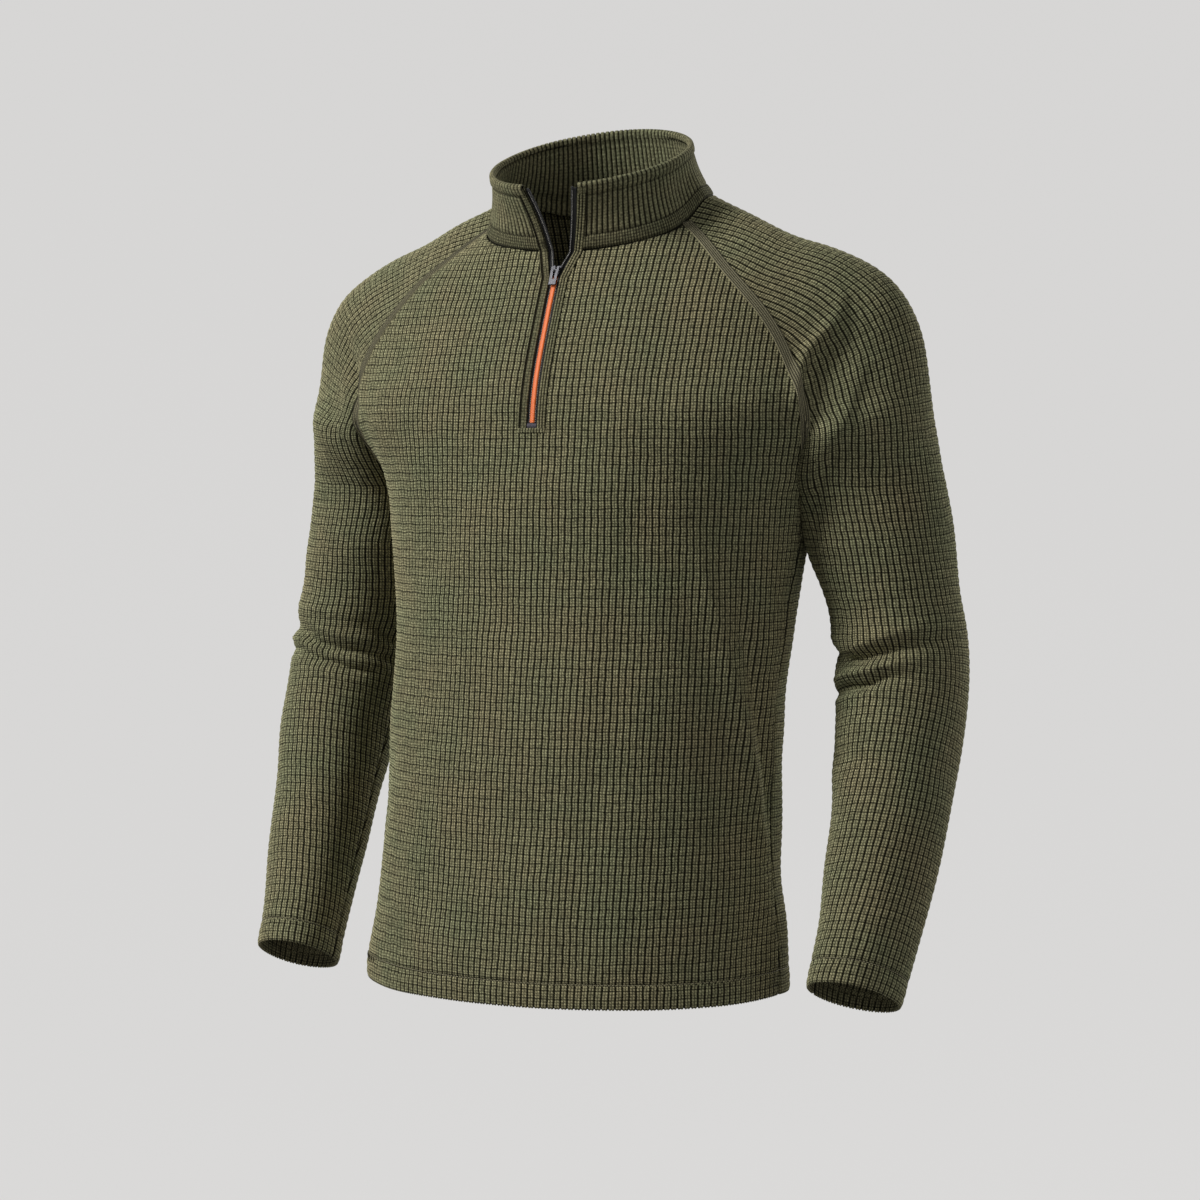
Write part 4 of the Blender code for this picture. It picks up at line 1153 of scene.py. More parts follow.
# The opening and its zip
TAPE_THICK = 0.7 * MM
TAPE_HIDDEN = 7.5 * MM
TAPE_BELOW = 6.0 * MM
CHAIN_WIDE = 4.4 * MM
CHAIN_THICK = 1.4 * MM
COIL_WIDE = 2.0 * MM
COIL_REACH = 0.5 * MM
ZIP_STEP = 1.5 * MM  # from one tooth to the next
ZIP_GAP = 0.3 * MM  # left between the zip's parts, and behind the cloth
PLATE_TALL = 10.0 * MM
PLATE_THICK = 1.0 * MM
CROWN_LEG = 0.9 * MM
TAB_TALL = 17.5 * MM
TAB_HALF = 0.5 * MM  # half the pull tab's thickness
EDGE_ROUND = 0.22 * MM


def opening_edge(foot):
    """Stations up the left edge of the opening: points, ways aside and out, wall and levels."""
    levels = np.linspace(foot, NECK_FRONT_Z, 120)
    x = slit_half(np.maximum(levels, SLIT_BOTTOM_Z))
    across = across_of("front", x, levels)
    edge = panel_point("front", across, levels)
    beside = panel_point("front", across + 0.02, levels)
    rises = np.linspace(0, 1, 40)[1:]
    collar = np.array([collar_row(up)[:3] for up in rises])
    edge = np.concatenate([edge, collar[:, 0]])
    beside = np.concatenate([beside, collar[:, 2]])
    total = gone_along(edge)[-1]
    places = np.linspace(0, total, round(total / ZIP_STEP) + 1)
    beside = beside - edge
    line = resample(edge, places)
    aside = read_along(gone_along(edge), beside, places)
    up = unit(np.gradient(line, axis=0))
    aside = across_way(aside, up)
    wall = WALL + (COLLAR_WALL - WALL) * ease((line[:, 2] - NECK_FRONT_Z + 12 * MM) / (10 * MM))
    return line, aside, np.cross(aside, up), wall, places


def make_welt(name, mirror):
    """One turned edge of the opening: rolled over, with narrow ribs out to its stitching."""
    line, aside, out, wall, places = opening_edge(SLIT_BOTTOM_Z - 0.2 * MM)
    half = wall[:, None] / 2
    turns = np.radians(np.linspace(270, 90, 9))
    rolled_x = half + half * np.cos(turns) - 0.2 * MM
    rolled_h = -half + (half + 0.25 * MM) * np.sin(turns)
    flat = np.linspace(1.2, WELT_WIDE / MM + 0.4, 17) * MM
    ribs = 0.35 + 0.3 * np.sin(np.pi * flat / WELT_WIDE) - 0.4 * np.cos(2 * math.pi * flat / WELT_RIB)
    ribs[-2:] = 0.0, -0.9
    inside = np.array([6.0, 3.0]) * MM
    ones = np.ones_like(half)
    x = np.concatenate([inside * ones, rolled_x, flat * ones], axis=1)
    h = np.concatenate([-2 * half - 0.1 * MM + 0 * inside * ones, rolled_h, ribs * MM * ones], axis=1)
    grid = line[:, None] + aside[:, None] * x[..., None] + out[:, None] * h[..., None]
    grid = grid * [mirror, 1, 1]
    across = x[20]  # as on a row of the chest
    if mirror < 0:
        grid = grid[:, ::-1]
    belong(strip(name, grid, across, places, material_named("welt")))


def make_welt_foot():
    """The turned edge below the opening, between the feet of the two beside it."""
    steps = np.linspace(-0.3, FOOT_TALL / MM + 0.3, 11) * MM
    heights = 0.45 + 0.35 * np.sin(np.pi * np.clip(steps / FOOT_TALL, 0, 1))
    heights[:1], heights[-2:] = -1.2, (0.0, -0.9)
    across = np.linspace(-1, 1, 41) * (SLIT_HALF + WELT_WIDE + 0.2 * MM)
    point, _, out = centre_frame(SLIT_BOTTOM_Z - steps)
    grid = panel_point("front", across_of("front", across, point[:, None, 2]), point[:, None, 2])
    ends = np.where(np.abs(across) > SLIT_HALF + WELT_WIDE - 0.4 * MM, -1.6, 0) * MM
    grid = grid + out[:, None] * (heights[:, None] * MM + ends)[..., None]
    foot = strip("welt_foot", grid[::-1], steps[0] + across, steps[::-1], material_named("welt"))
    belong(foot)


def make_dots():
    """The light thread that holds the coils to their tapes."""
    size = 0.7 * MM, 0.5 * MM, 0.4 * MM
    lines = []
    line, aside, out, wall, _ = opening_edge(COIL_FROM_Z + 2 * MM)
    inward = TAPE_SHOWN + COIL_REACH - 0.6 * COIL_WIDE
    line = line - aside * inward - out * (wall[:, None] - CHAIN_THICK)
    closed, _, ahead = centre_frame(np.linspace(SLIT_BOTTOM_Z + 5 * MM, CHAIN_TOP_Z - 3 * MM, 60))
    closed = closed + ahead * (0.3 * MM - WALL) + [CHAIN_WIDE / 2 + 0.6 * MM, 0, 0]
    for mirror in (1, -1):
        flip = np.array([mirror, 1, 1])
        lines += [(line[:-3] * flip, out[:-3] * flip), (closed * flip, ahead)]
    make_stitches("coil_stitches", lines, ZIP_STEP, size, look="dots")


def make_tape(name, node, mirror):
    """A woven tape behind one edge of the opening."""
    line, aside, out, wall, places = opening_edge(SLIT_BOTTOM_Z - TAPE_BELOW)
    keep = slice(0, -2)
    shown, thinned = -TAPE_SHOWN, -TAPE_SHOWN + 0.3 * MM
    x = np.array([shown, thinned, 0, TAPE_HIDDEN, TAPE_HIDDEN, thinned])
    depth = np.array([0.35, 0, 0, 0, TAPE_THICK / MM, TAPE_THICK / MM]) * MM + ZIP_GAP
    grid = line[:, None] + aside[:, None] * x[None, :, None]
    grid = grid - out[:, None] * (wall[:, None] + depth[None])[..., None]
    grid = grid[keep] * [mirror, 1, 1]
    if mirror < 0:
        grid = grid[:, ::-1]
    thing = strip(name, grid, x, places[keep], material_named("tape"), closed=True)
    belong(thing, node)


def centre_frame(level):
    """The centre line's points at levels, and the ways up and out of the cloth there."""
    middle = 0.0 * level
    above, below = (panel_point("front", middle, level + step) for step in (MM, -MM))
    up = unit(above - below)
    return panel_point("front", middle, level), up, np.cross([1.0, 0.0, 0.0], up)


def toothed(name, line, across, out, wide, look, rows_apart):
    """A strip with the rounded teeth of a coil; rows_apart sets its two sides half a tooth apart."""
    gone = gone_along(line)
    places = np.arange(0, gone[-1], ZIP_STEP / 6)
    line, across, out = (read_along(gone, values, places) for values in (line, across, out))
    x = np.array([-1, -0.98, -0.85, -0.5, -0.12, 0.12, 0.5, 0.85, 0.98, 1]) * wide / 2
    face = np.array([0, 0.5, 0.85, 1, 0.8, 0.8, 1, 0.85, 0.5, 0])
    turn = places[:, None] / ZIP_STEP + 0.5 * rows_apart * (x[None] < 0)
    tooth = 1 - 0.3 * np.cos(math.pi * turn) ** 4 * (np.abs(x[None]) > 0.3 * wide / 2)
    grid = line[:, None] + across[:, None] * x[None, :, None]
    grid = grid + out[:, None] * (CHAIN_THICK * face * tooth)[..., None]
    return strip(name, grid, x, places, material_named(look), closed=True)


def make_chain():
    """The closed, coloured chain between the tapes, from the bottom stop to the slider."""
    levels = np.linspace(SLIT_BOTTOM_Z + 4.6 * MM, CHAIN_TOP_Z, 60)
    line, up, out = centre_frame(levels)
    across = np.cross(up, out)
    teeth = toothed("zip_chain_teeth", line - out * WALL, across, out, CHAIN_WIDE, "chain", 1)
    belong(teeth, "zip_chain")


def make_coil(name, node, mirror):
    """One half of the open chain along its tape's edge."""
    line, aside, out, wall, _ = opening_edge(COIL_FROM_Z + 1 * MM)
    line, aside, out, wall = line[:-1], aside[:-1], out[:-1], wall[:-1]
    middle = line - aside * (TAPE_SHOWN + COIL_REACH - COIL_WIDE / 2) - out * wall[:, None]
    middle, aside, out = (values * [mirror, 1, 1] for values in (middle, aside, out))
    belong(toothed(name, middle, aside, out, COIL_WIDE, "coil", 0), node)


def make_bottom_stop():
    """The bar of threads across the foot of the chain."""
    foot, tall, wide = SLIT_BOTTOM_Z + 0.3 * MM, 4.0 * MM, 9.2 * MM
    count = 9
    x = (np.arange(count) - (count - 1) / 2) * wide / count
    x = np.concatenate([x, [-wide / 4, wide / 4]])
    point, up, out = centre_frame(np.full(len(x), foot + tall / 2))
    lift = np.array([0.2] * count + [0.55, 0.55]) * MM
    centres = point + out * (lift[:, None] - WALL + 0.6 * MM) + x[:, None] * [1, 0, 0]
    ways = up.copy()
    ways[count:] = [1, 0, 0]
    size = tall, 1.25 * MM, 1.5 * MM
    thing = beads("zip_stop_threads", centres, ways, out, size, material_named("stop"))
    belong(thing, "zip_bottom_stop")


def slider_frame():
    """From the slider's own axes, across, up and out, to the frame's."""
    point, up, out = centre_frame(np.array([SLIDER_Z]))
    turn = Matrix(np.stack([(1.0, 0.0, 0.0), up[0], out[0]], axis=1).tolist())
    return Matrix.LocRotScale(Vector(point[0]), turn, None)


def rounded(foot_wide, top_wide, foot, top, corner, steps=4):
    """An outline that widens upward, its corners rounded."""
    half = []
    for wide, level, start in ((foot_wide, foot, -90), (top_wide, top, 0)):
        middle = level + corner if start else level - corner
        for angle in np.radians(np.linspace(start, start + 90, steps + 1)):
            x, y = corner * math.cos(angle), corner * math.sin(angle)
            half.append((wide / 2 - corner + x, middle + y))
    return half + [(-x, y) for x, y in half[::-1]]


def extrude(bm, outline, low, high, hole=None, axes=(0, 1, 2)):
    """Draw an outline out from low to high along the third of the axes, round a hole if given."""
    def ring(points, reach):
        """An outline's vertices at one reach."""
        made = []
        for a, b in points:
            place = [0.0, 0.0, 0.0]
            place[axes[0]], place[axes[1]], place[axes[2]] = a, b, reach
            made.append(bm.verts.new(place))
        return made

    count = len(outline)
    outer = ring(outline, low), ring(outline, high)
    inner = (ring(hole, low), ring(hole, high)) if hole else None
    for k in range(count):
        n = (k + 1) % count
        bm.faces.new([outer[0][k], outer[0][n], outer[1][n], outer[1][k]])
        if inner:
            bm.faces.new([inner[0][n], inner[0][k], inner[1][k], inner[1][n]])
            bm.faces.new([outer[1][k], outer[1][n], inner[1][n], inner[1][k]])
            bm.faces.new([outer[0][n], outer[0][k], inner[0][k], inner[0][n]])
    if not inner:
        bm.faces.new(outer[0][::-1])
        bm.faces.new(outer[1])


def cast_piece(name, bm, node, body):
    """A die-cast piece of the slider from its mesh in the slider's axes, its edges rounded."""
    bmesh.ops.recalc_face_normals(bm, faces=bm.faces)
    mesh = bpy.data.meshes.new(name)
    bm.to_mesh(mesh)
    bm.free()
    mesh.transform(slider_frame())
    mesh.materials.append(material_named("metal"))
    mesh.shade_smooth()
    thing = put_in_scene(name, mesh)
    bevel = thing.modifiers.new("edges", "BEVEL")
    bevel.width = EDGE_ROUND
    bevel.segments = 3
    bevel.limit_method = "ANGLE"
    bevel.angle_limit = math.radians(30)
    bevel.harden_normals = True
    belong(thing, node, body)


def slider_levels():
    """How far out of the cloth the undersides of the slider's front and back plates lie."""
    return CHAIN_THICK - WALL + ZIP_GAP, -(WALL + TAPE_THICK + 2 * ZIP_GAP) - PLATE_THICK


def make_slider():
    """The slider body: two plates, the post between them, and the crown over the pull's bar."""
    front, back = slider_levels()
    top, foot, face = PLATE_TALL / 2, -PLATE_TALL / 2, front + PLATE_THICK
    outline = rounded(6.8 * MM, 10.0 * MM, foot, top, 1.2 * MM)
    bm = bmesh.new()
    extrude(bm, outline, front, face)
    extrude(bm, outline, back, back + PLATE_THICK)
    post = rounded(1.0 * MM, 2.0 * MM, top - 3.7 * MM, top - 0.3 * MM, 0.3 * MM)
    extrude(bm, post, back + PLATE_THICK / 2, front + PLATE_THICK / 2)
    sunk, ceiling, ridge = face - PLATE_THICK / 2, face + 1.9 * MM, face + 2.7 * MM
    end, bend = top - 6.4 * MM, 1.3 * MM
    corner = ridge - 0.4 * bend
    arch = [(end, sunk), (end, ridge - bend), (end + 0.4 * bend, corner), (end + bend, ridge)]
    arch += [(top - bend, ridge), (top - 0.4 * bend, corner), (top, ridge - bend), (top, sunk)]
    inner_top, inner_end = top - CROWN_LEG, end + CROWN_LEG
    arch += [(inner_top, sunk), (inner_top, ceiling), (inner_end, ceiling), (inner_end, sunk)]
    extrude(bm, arch, -0.8 * MM, 0.8 * MM, axes=(1, 2, 0))
    cast_piece("zip_slider_body", bm, "zip_slider", "top")


def make_pull():
    """The pull tab: a tapering frame round a slot, with a lip at its foot."""
    front, _ = slider_levels()
    top = PLATE_TALL / 2 - CROWN_LEG - ZIP_GAP
    up, foot = top - TAB_HALF, top - TAB_TALL
    out = front + PLATE_THICK + 0.95 * MM
    near, far = out - TAB_HALF, out + TAB_HALF
    bm = bmesh.new()
    outline = rounded(6.8 * MM, 8.0 * MM, foot, top, 0.9 * MM)
    slot = rounded(1.6 * MM, 3.0 * MM, up - 11.5 * MM, up - 0.5 * MM, 0.7 * MM)
    extrude(bm, outline, near, far, hole=slot)
    lip = rounded(7.2 * MM, 7.2 * MM, foot - 0.1 * MM, foot + 1.1 * MM, 0.5 * MM)
    extrude(bm, lip, near, far + 0.3 * MM)
    cast_piece("zip_pull_tab", bm, "zip_pull", "pull_tab")


# Materials
CLOTH_MAP = "Cloth"
# The attribute that holds the painted seam shade
PAINTED_SHADE_ATTRIBUTE = "Seams"
MULTIPLY = {"operation": "MULTIPLY"}
MULTIPLY_ADD = {"operation": "MULTIPLY_ADD"}
FRACT = {"operation": "FRACT"}
SCALE = {"operation": "SCALE"}
COLOURS = {"data_type": "RGBA"}
TO_COLOURS = [None] * 5  # the Mix node's inputs between its share and its two colours
PATCH = 71.43 * MM  # patches of browner and greener yarn
YARN = 2.0833 * MM  # tufts of brushed yarn, drawn coarser than fibres so that they show
BREAK = 5.882 * MM  # lengths over which a line between courses shows or fades
COURSE_WIDE = 0.11  # of a cell's height, to either side of that line


def add_node(tree, kind, settings, *inputs, **named):
    """Add a node with its settings. An input is a number, a colour, a socket, or a node, which
    stands for its first output; None leaves the input as it is."""
    made = tree.nodes.new("ShaderNode" + kind)
    for name, value in settings.items():
        setattr(made, name, value)
    wanted = list(zip(made.inputs, inputs))
    wanted += [(made.inputs[name.replace("_", " ")], value) for name, value in named.items()]
    for socket, value in wanted:
        if isinstance(value, bpy.types.Node):
            value = value.outputs[0]
        if isinstance(value, bpy.types.NodeSocket):
            tree.links.new(value, socket)
        elif value is not None:
            socket.default_value = value
    return made


def new_material(name, **surface):
    """A material with its own tree, and its Principled shader with sockets set by name."""
    material = bpy.data.materials.new(name)
    material.use_nodes = True
    tree = material.node_tree
    tree.nodes.clear()
    shader = add_node(tree, "BsdfPrincipled", {}, **surface)
    add_node(tree, "OutputMaterial", {}, shader)
    return material, tree, shader


def give_surface(tree, shader, colour, height, strength, depth):
    """Give the shader its colour, and a bump of a height at a strength and a depth."""
    tree.links.new(colour, shader.inputs["Base Color"])
    bump = add_node(tree, "Bump", {}, Strength=strength, Distance=depth, Height=height)
    tree.links.new(bump.outputs[0], shader.inputs["Normal"])


def cells_of(tree, wide, tall):
    """Where a point of the cloth lies in its knit cell: sockets across and up, from 0 to 1."""
    places = add_node(tree, "UVMap", {"uv_map": CLOTH_MAP})
    scaled = add_node(tree, "VectorMath", {"operation": "MULTIPLY"}, places, (1 / wide, 1 / tall, 1))
    share = add_node(tree, "VectorMath", {"operation": "FRACTION"}, scaled)
    split = add_node(tree, "SeparateXYZ", {}, share)
    return split.outputs[0], split.outputs[1]


def distance_from_edge(tree, share, width):
    """0 at a cell's edge, 1 from width inward, where width is a share of the cell."""
    back = add_node(tree, "Math", {"operation": "SUBTRACT"}, 1.0, share)
    nearest = add_node(tree, "Math", {"operation": "MINIMUM"}, share, back)
    smooth = {"interpolation_type": "SMOOTHSTEP"}
    return add_node(tree, "MapRange", smooth, nearest, 0.0, width, 0.0, 1.0)


def make_knit(
    settings, name="brushed_polyester_grid_knit", wide=None, courses=True, light=(0, 0.33),
    edge=0.33, stitches=0.4, tone=1.0,
):
    # Brushed polyester knit: a matt, hairy yarn that scatters light, hardly any gloss, a soft
    # sheen at grazing angles, and grooves that hold shadow. Toward the bottom of a groove the
    # colour also goes to the groove colour: partly the yarn's own darker look, partly painted
    # shade. light is what is left of the light in the grooves between cells and between a cell's
    # two ribs, edge the share of a cell that its groove takes on either side, stitches what is
    # left between two stitches, and tone how light the yarn is beside that of the body; a tone
    # below 1 draws the same yarn darker as painted shade.
    material, tree, shader = new_material(
        name, Roughness=0.92, Specular_IOR_Level=0.06, Sheen_Weight=0.02, Sheen_Roughness=0.5
    )
    across, up = cells_of(tree, wide or settings.cell_wide, settings.cell_tall)
    where = add_node(tree, "TexCoord", {}).outputs["Object"]
    patches = add_node(
        tree, "TexNoise", {}, Vector=where, Scale=1 / PATCH, Detail=4.0, Roughness=0.65
    )
    patches = add_node(tree, "MapRange", {}, patches, 0.35, 0.65, 0.0, 1.0)
    yarn = add_node(tree, "TexNoise", {}, Vector=where, Scale=1 / YARN, Detail=3.0, Roughness=0.6)
    yarn_light = add_node(tree, "MapRange", {}, yarn, 0.32, 0.68, 0.5 * tone, 1.56 * tone)

    # Across a cell: two round ribs, with the deepest grooves between cells
    doubled = add_node(tree, "Math", MULTIPLY, across, 2.0)
    rib = add_node(tree, "Math", FRACT, doubled)
    round_rib = distance_from_edge(tree, rib, 0.5)
    round_rib = add_node(tree, "MapRange", {}, round_rib, 0.0, 1.0, light[1], 1.0)
    between = distance_from_edge(tree, across, edge)
    between = add_node(tree, "MapRange", {}, between, 0.0, 1.0, light[0], 1.0)
    # Up a cell: three stitches to a rib, leaning, and a broken line between cells
    tripled = add_node(tree, "Math", MULTIPLY, up, 3.0)
    lean = add_node(tree, "Math", MULTIPLY_ADD, rib, 0.35, tripled)
    stitch = add_node(tree, "Math", FRACT, lean)
    stitch = distance_from_edge(tree, stitch, 0.5)
    stitch = add_node(tree, "MapRange", {}, stitch, 0.0, 1.0, stitches, 1.0)
    shares = [between, stitch]
    if courses:
        breaks = add_node(tree, "TexNoise", {}, Vector=where, Scale=1 / BREAK, Detail=1.0)
        breaks = add_node(tree, "MapRange", {}, breaks, 0.35, 0.65, 0.08, 0.5)
        course = distance_from_edge(tree, up, COURSE_WIDE)
        shares.append(add_node(tree, "MapRange", {}, course, 0.0, 1.0, breaks, 1.0))
    # Painted shade in seams and stitch lines: little light gets into a seam, so there the colour goes
    # toward the groove colour
    seams = add_node(tree, "Attribute", {"attribute_name": PAINTED_SHADE_ATTRIBUTE}).outputs["Fac"]
    light_left_in_seams = add_node(tree, "MapRange", {}, seams, 0.0, 1.0, 1.0, 0.0)
    # lit: the light left in grooves, between ribs and stitches, and in seams; as it falls the colour
    # goes toward the groove colour, partly the yarn's own darker look, partly painted shade
    lit = round_rib
    for share in (*shares, light_left_in_seams):
        lit = add_node(tree, "Math", MULTIPLY, lit, share)

    warm, cool = settings.knit_warm, settings.knit_cool
    colour = add_node(tree, "Mix", COLOURS, patches, *TO_COLOURS, warm, cool).outputs[2]
    colour = add_node(tree, "VectorMath", SCALE, colour, Scale=yarn_light).outputs[0]
    colour = add_node(tree, "Mix", COLOURS, lit, *TO_COLOURS, settings.groove_yarn_and_shade, colour)
    fibres = add_node(tree, "Math", MULTIPLY_ADD, yarn, 0.8, round_rib)
    height = add_node(tree, "Math", {"operation": "ADD"}, fibres, stitch)
    height = add_node(tree, "Math", MULTIPLY, height, light_left_in_seams)
    give_surface(tree, shader, colour.outputs[2], height, 0.8, 0.5 * MM)
    return material


def make_cover_stitch(settings):
    # Looper threads of a cover stitch: soft spun polyester side by side, with painted shade between
    # them in the groove colour.
    material, tree, shader = new_material(
        "spun_polyester_cover_stitch", Roughness=0.85, Specular_IOR_Level=0.2, Sheen_Weight=0.08
    )
    pitch = BAND_WIDE / BAND_THREADS
    places = add_node(tree, "UVMap", {"uv_map": CLOTH_MAP})
    shifted = add_node(tree, "VectorMath", {"operation": "ADD"}, places, (BAND_WIDE, 0, 0))
    split = add_node(tree, "SeparateXYZ", {}, shifted)
    across, along = split.outputs[0], split.outputs[1]
    thread = add_node(tree, "Math", MULTIPLY, across, 1 / pitch)
    thread = add_node(tree, "Math", FRACT, thread)
    # Painted shade between the threads: toward their edges the colour goes to the groove colour
    lit = distance_from_edge(tree, thread, 0.42)
    lean = add_node(tree, "Math", MULTIPLY_ADD, across, 0.8, along)
    turn = add_node(tree, "Math", MULTIPLY, lean, 2 * math.pi / BAND_STEP)
    plies = add_node(tree, "Math", {"operation": "SINE"}, turn)
    light = add_node(tree, "MapRange", {}, plies, -1.0, 1.0, 0.75, 1.1)
    colour = add_node(tree, "VectorMath", SCALE, settings.thread_colour[:3], Scale=light).outputs[0]
    colour = add_node(tree, "Mix", COLOURS, lit, *TO_COLOURS, settings.groove_yarn_and_shade, colour)
    give_surface(tree, shader, colour.outputs[2], plies, 0.6, 0.2 * MM)
    return material


def make_grained(
    name, colour, roughness, grain, depth, light=(0.85, 1.12), detail=2.0, strength=0.4, **surface
):
    """A material of one colour with a grain, whose size and depth are in mm. Twist, weave and
    tumbling marks are finer than this on the real ones, and are drawn coarser so that they
    show. light is how dark and how light the grain makes the colour."""
    material, tree, shader = new_material(name, Roughness=roughness, **surface)
    where = add_node(tree, "TexCoord", {}).outputs["Object"]
    noise = add_node(tree, "TexNoise", {}, Vector=where, Scale=1 / (grain * MM), Detail=detail)
    shade = add_node(tree, "MapRange", {}, noise, 0.3, 0.7, *light)
    tone = add_node(tree, "VectorMath", SCALE, tuple(colour)[:3], Scale=shade)
    give_surface(tree, shader, tone.outputs[0], noise, strength, depth * MM)
    return material


MATERIALS = {
    "knit": lambda cloth, zip_: make_knit(cloth),
    # The same yarn in plain ribs: rounder, closer ribs that let little light in between them.
    # The yarn is drawn darker here as painted shade.
    "rib": lambda cloth, zip_: make_knit(
        cloth, "brushed_polyester_rib_knit", COLLAR_RIB, False, light=(0, 0.8), edge=0.4,
        stitches=0.7, tone=0.6,
    ),
    # Pressed flat by its stitching: fine, shallow, even ribs. The same yarn, drawn darker as
    # painted shade.
    "collar band": lambda cloth, zip_: make_knit(
        cloth, "pressed_polyester_rib_knit", COLLAR_RIB / 2, False, light=(0.1, 0.9), edge=0.45,
        tone=0.5,
    ),
    "cover stitch": lambda cloth, zip_: make_cover_stitch(cloth),
    # Folded over at the opening: narrow ribs, with the loops open along them. The same yarn,
    # drawn a little darker as painted shade.
    "welt": lambda cloth, zip_: make_knit(
        cloth, "turned_polyester_rib_knit", WELT_RIB, False, light=(0, 0.9), edge=0.42, tone=0.7
    ),
    # Spun polyester sewing thread: a twisted yarn, a little smoother and lighter than the knit.
    "thread": lambda cloth, zip_: make_grained(
        "spun_polyester_thread", cloth.thread_colour, 0.75, 1.111, 0.1, light=(0.7, 1.1),
        detail=1.0, strength=0.5, Specular_IOR_Level=0.3, Sheen_Weight=0.1,
    ),
    # Woven polyester tape: dull black with a fine weave.
    "tape": lambda cloth, zip_: make_grained(
        "woven_polyester_tape", zip_.tape_colour, 0.8, 0.7, 0.1
    ),
    # Extruded nylon coil with a coloured film: a clean colour with a soft gloss on each tooth.
    "chain": lambda cloth, zip_: make_grained(
        "coated_nylon_coil", zip_.chain_colour, 0.45, 1.2, 0.05
    ),
    # The same coil uncoated: dark, a little glossier on its teeth.
    "coil": lambda cloth, zip_: make_grained(
        "extruded_nylon_coil", zip_.coil_colour, 0.6, 0.9, 0.05
    ),
    # Bar tack of grey thread: short stitches packed side by side.
    "stop": lambda cloth, zip_: make_grained("bar_tack_thread", zip_.stop_colour, 0.7, 0.4, 0.1),
    # Light thread in the tape's edge: pale dots.
    "dots": lambda cloth, zip_: make_grained("tape_edge_thread", zip_.dot_colour, 0.7, 0.4, 0.05),
    # Die-cast zinc, nickel plated and tumbled: grey, satin, with soft bright highlights.
    "metal": lambda cloth, zip_: make_grained(
        "nickel_plated_zinc", zip_.metal_colour, 0.25, 9.0, 0.004, Metallic=1.0
    ),
}
made_materials = {}


def material_named(name):
    """One of the materials, made when it is first asked for."""
    if name not in made_materials:
        scene = bpy.context.scene
        made_materials[name] = MATERIALS[name](scene.knit_top_cloth, scene.knit_top_zip)
    return made_materials[name]


# Settings, operators and panel
def length_setting(name, description, default):
    """A length of the cloth that a user would change."""
    return bpy.props.FloatProperty(
        name=name, description=description, default=default, unit="LENGTH", precision=4
    )


def colour_setting(name, description, text):
    """A colour, from its sRGB hex value."""
    return bpy.props.FloatVectorProperty(
        name=name, description=description, default=hex_colour(text), subtype="COLOR", size=4
    )


def power_setting(name, description, watts):
    """A light's power."""
    return bpy.props.FloatProperty(name=name, description=description, default=watts, unit="POWER")


class KnitTopCloth(bpy.types.PropertyGroup):
    cell_wide: length_setting("Cell width", "Width of one cell of the knit: two ribs", 5.85 * MM)
    cell_tall: length_setting("Cell height", "Height of one cell of the knit", 7.5 * MM)
    groove: length_setting("Groove depth", "Depth of the grooves between cells", 1.35 * MM)
    knit_warm: colour_setting("Warm olive", "Yarn where it is brownest", "#C8BF94")
    knit_cool: colour_setting("Cool olive", "Yarn where it is greenest", "#BABC91")
    # The groove colour: partly the yarn's own darker look deep in a groove, partly painted shade
    groove_yarn_and_shade: colour_setting("Groove", "Yarn at the bottom of a groove", "#100E04")
    thread_colour: colour_setting("Thread", "Sewing thread of the seams", "#9C9676")


class KnitTopZip(bpy.types.PropertyGroup):
    chain_colour: colour_setting("Chain", "Coating of the closed chain", "#FF7A26")
    tape_colour: colour_setting("Tape", "Woven tapes", "#161616")
    coil_colour: colour_setting("Coil", "Open halves of the chain", "#161617")
    stop_colour: colour_setting("Stop", "Thread bar at the foot of the chain", "#5A5560")
    dot_colour: colour_setting("Dots", "Light thread along the tapes", "#E6E2D8")
    metal_colour: colour_setting("Metal", "Plating of slider and pull tab", "#3C3C3E")


class KnitTopStage(bpy.types.PropertyGroup):
    backdrop: colour_setting("Backdrop", "Colour of floor and backdrop", "#D9D8D7")
    key_power: power_setting("Key light", "Power of the key light", 140.0)
    fill_power: power_setting("Fill light", "Power of the fill light", 14.0)
    back_power: power_setting("Back light", "Power of the light behind", 60.0)


cloths = {}


class MakeBody(bpy.types.Operator):
    """Make the front and back panels"""

    bl_idname = "knit_top.make_body"
    bl_label = "Front and back"

    def execute(self, context):
        for side in ("front", "back"):
            cloth, cut = make_panel(side, context.scene.knit_top_cloth)
            cloths[side] = cloth
        return {"FINISHED"}


class MakeSleeves(bpy.types.Operator):
    """Make the two raglan sleeves"""

    bl_idname = "knit_top.make_sleeves"
    bl_label = "Sleeves"

    def execute(self, context):
        for side, word in SIDES:
            name = "sleeve_" + word
            cloth, cut = make_sleeve(name, side, context.scene.knit_top_cloth)
            cloths[name] = cloth
        return {"FINISHED"}


class MakeCollar(bpy.types.Operator):
    """Make the stand collar"""

    bl_idname = "knit_top.make_collar"
    bl_label = "Collar"

    def execute(self, context):
        cloth, cut = make_collar(context.scene.knit_top_cloth)
        cloths["collar"] = cloth
        return {"FINISHED"}


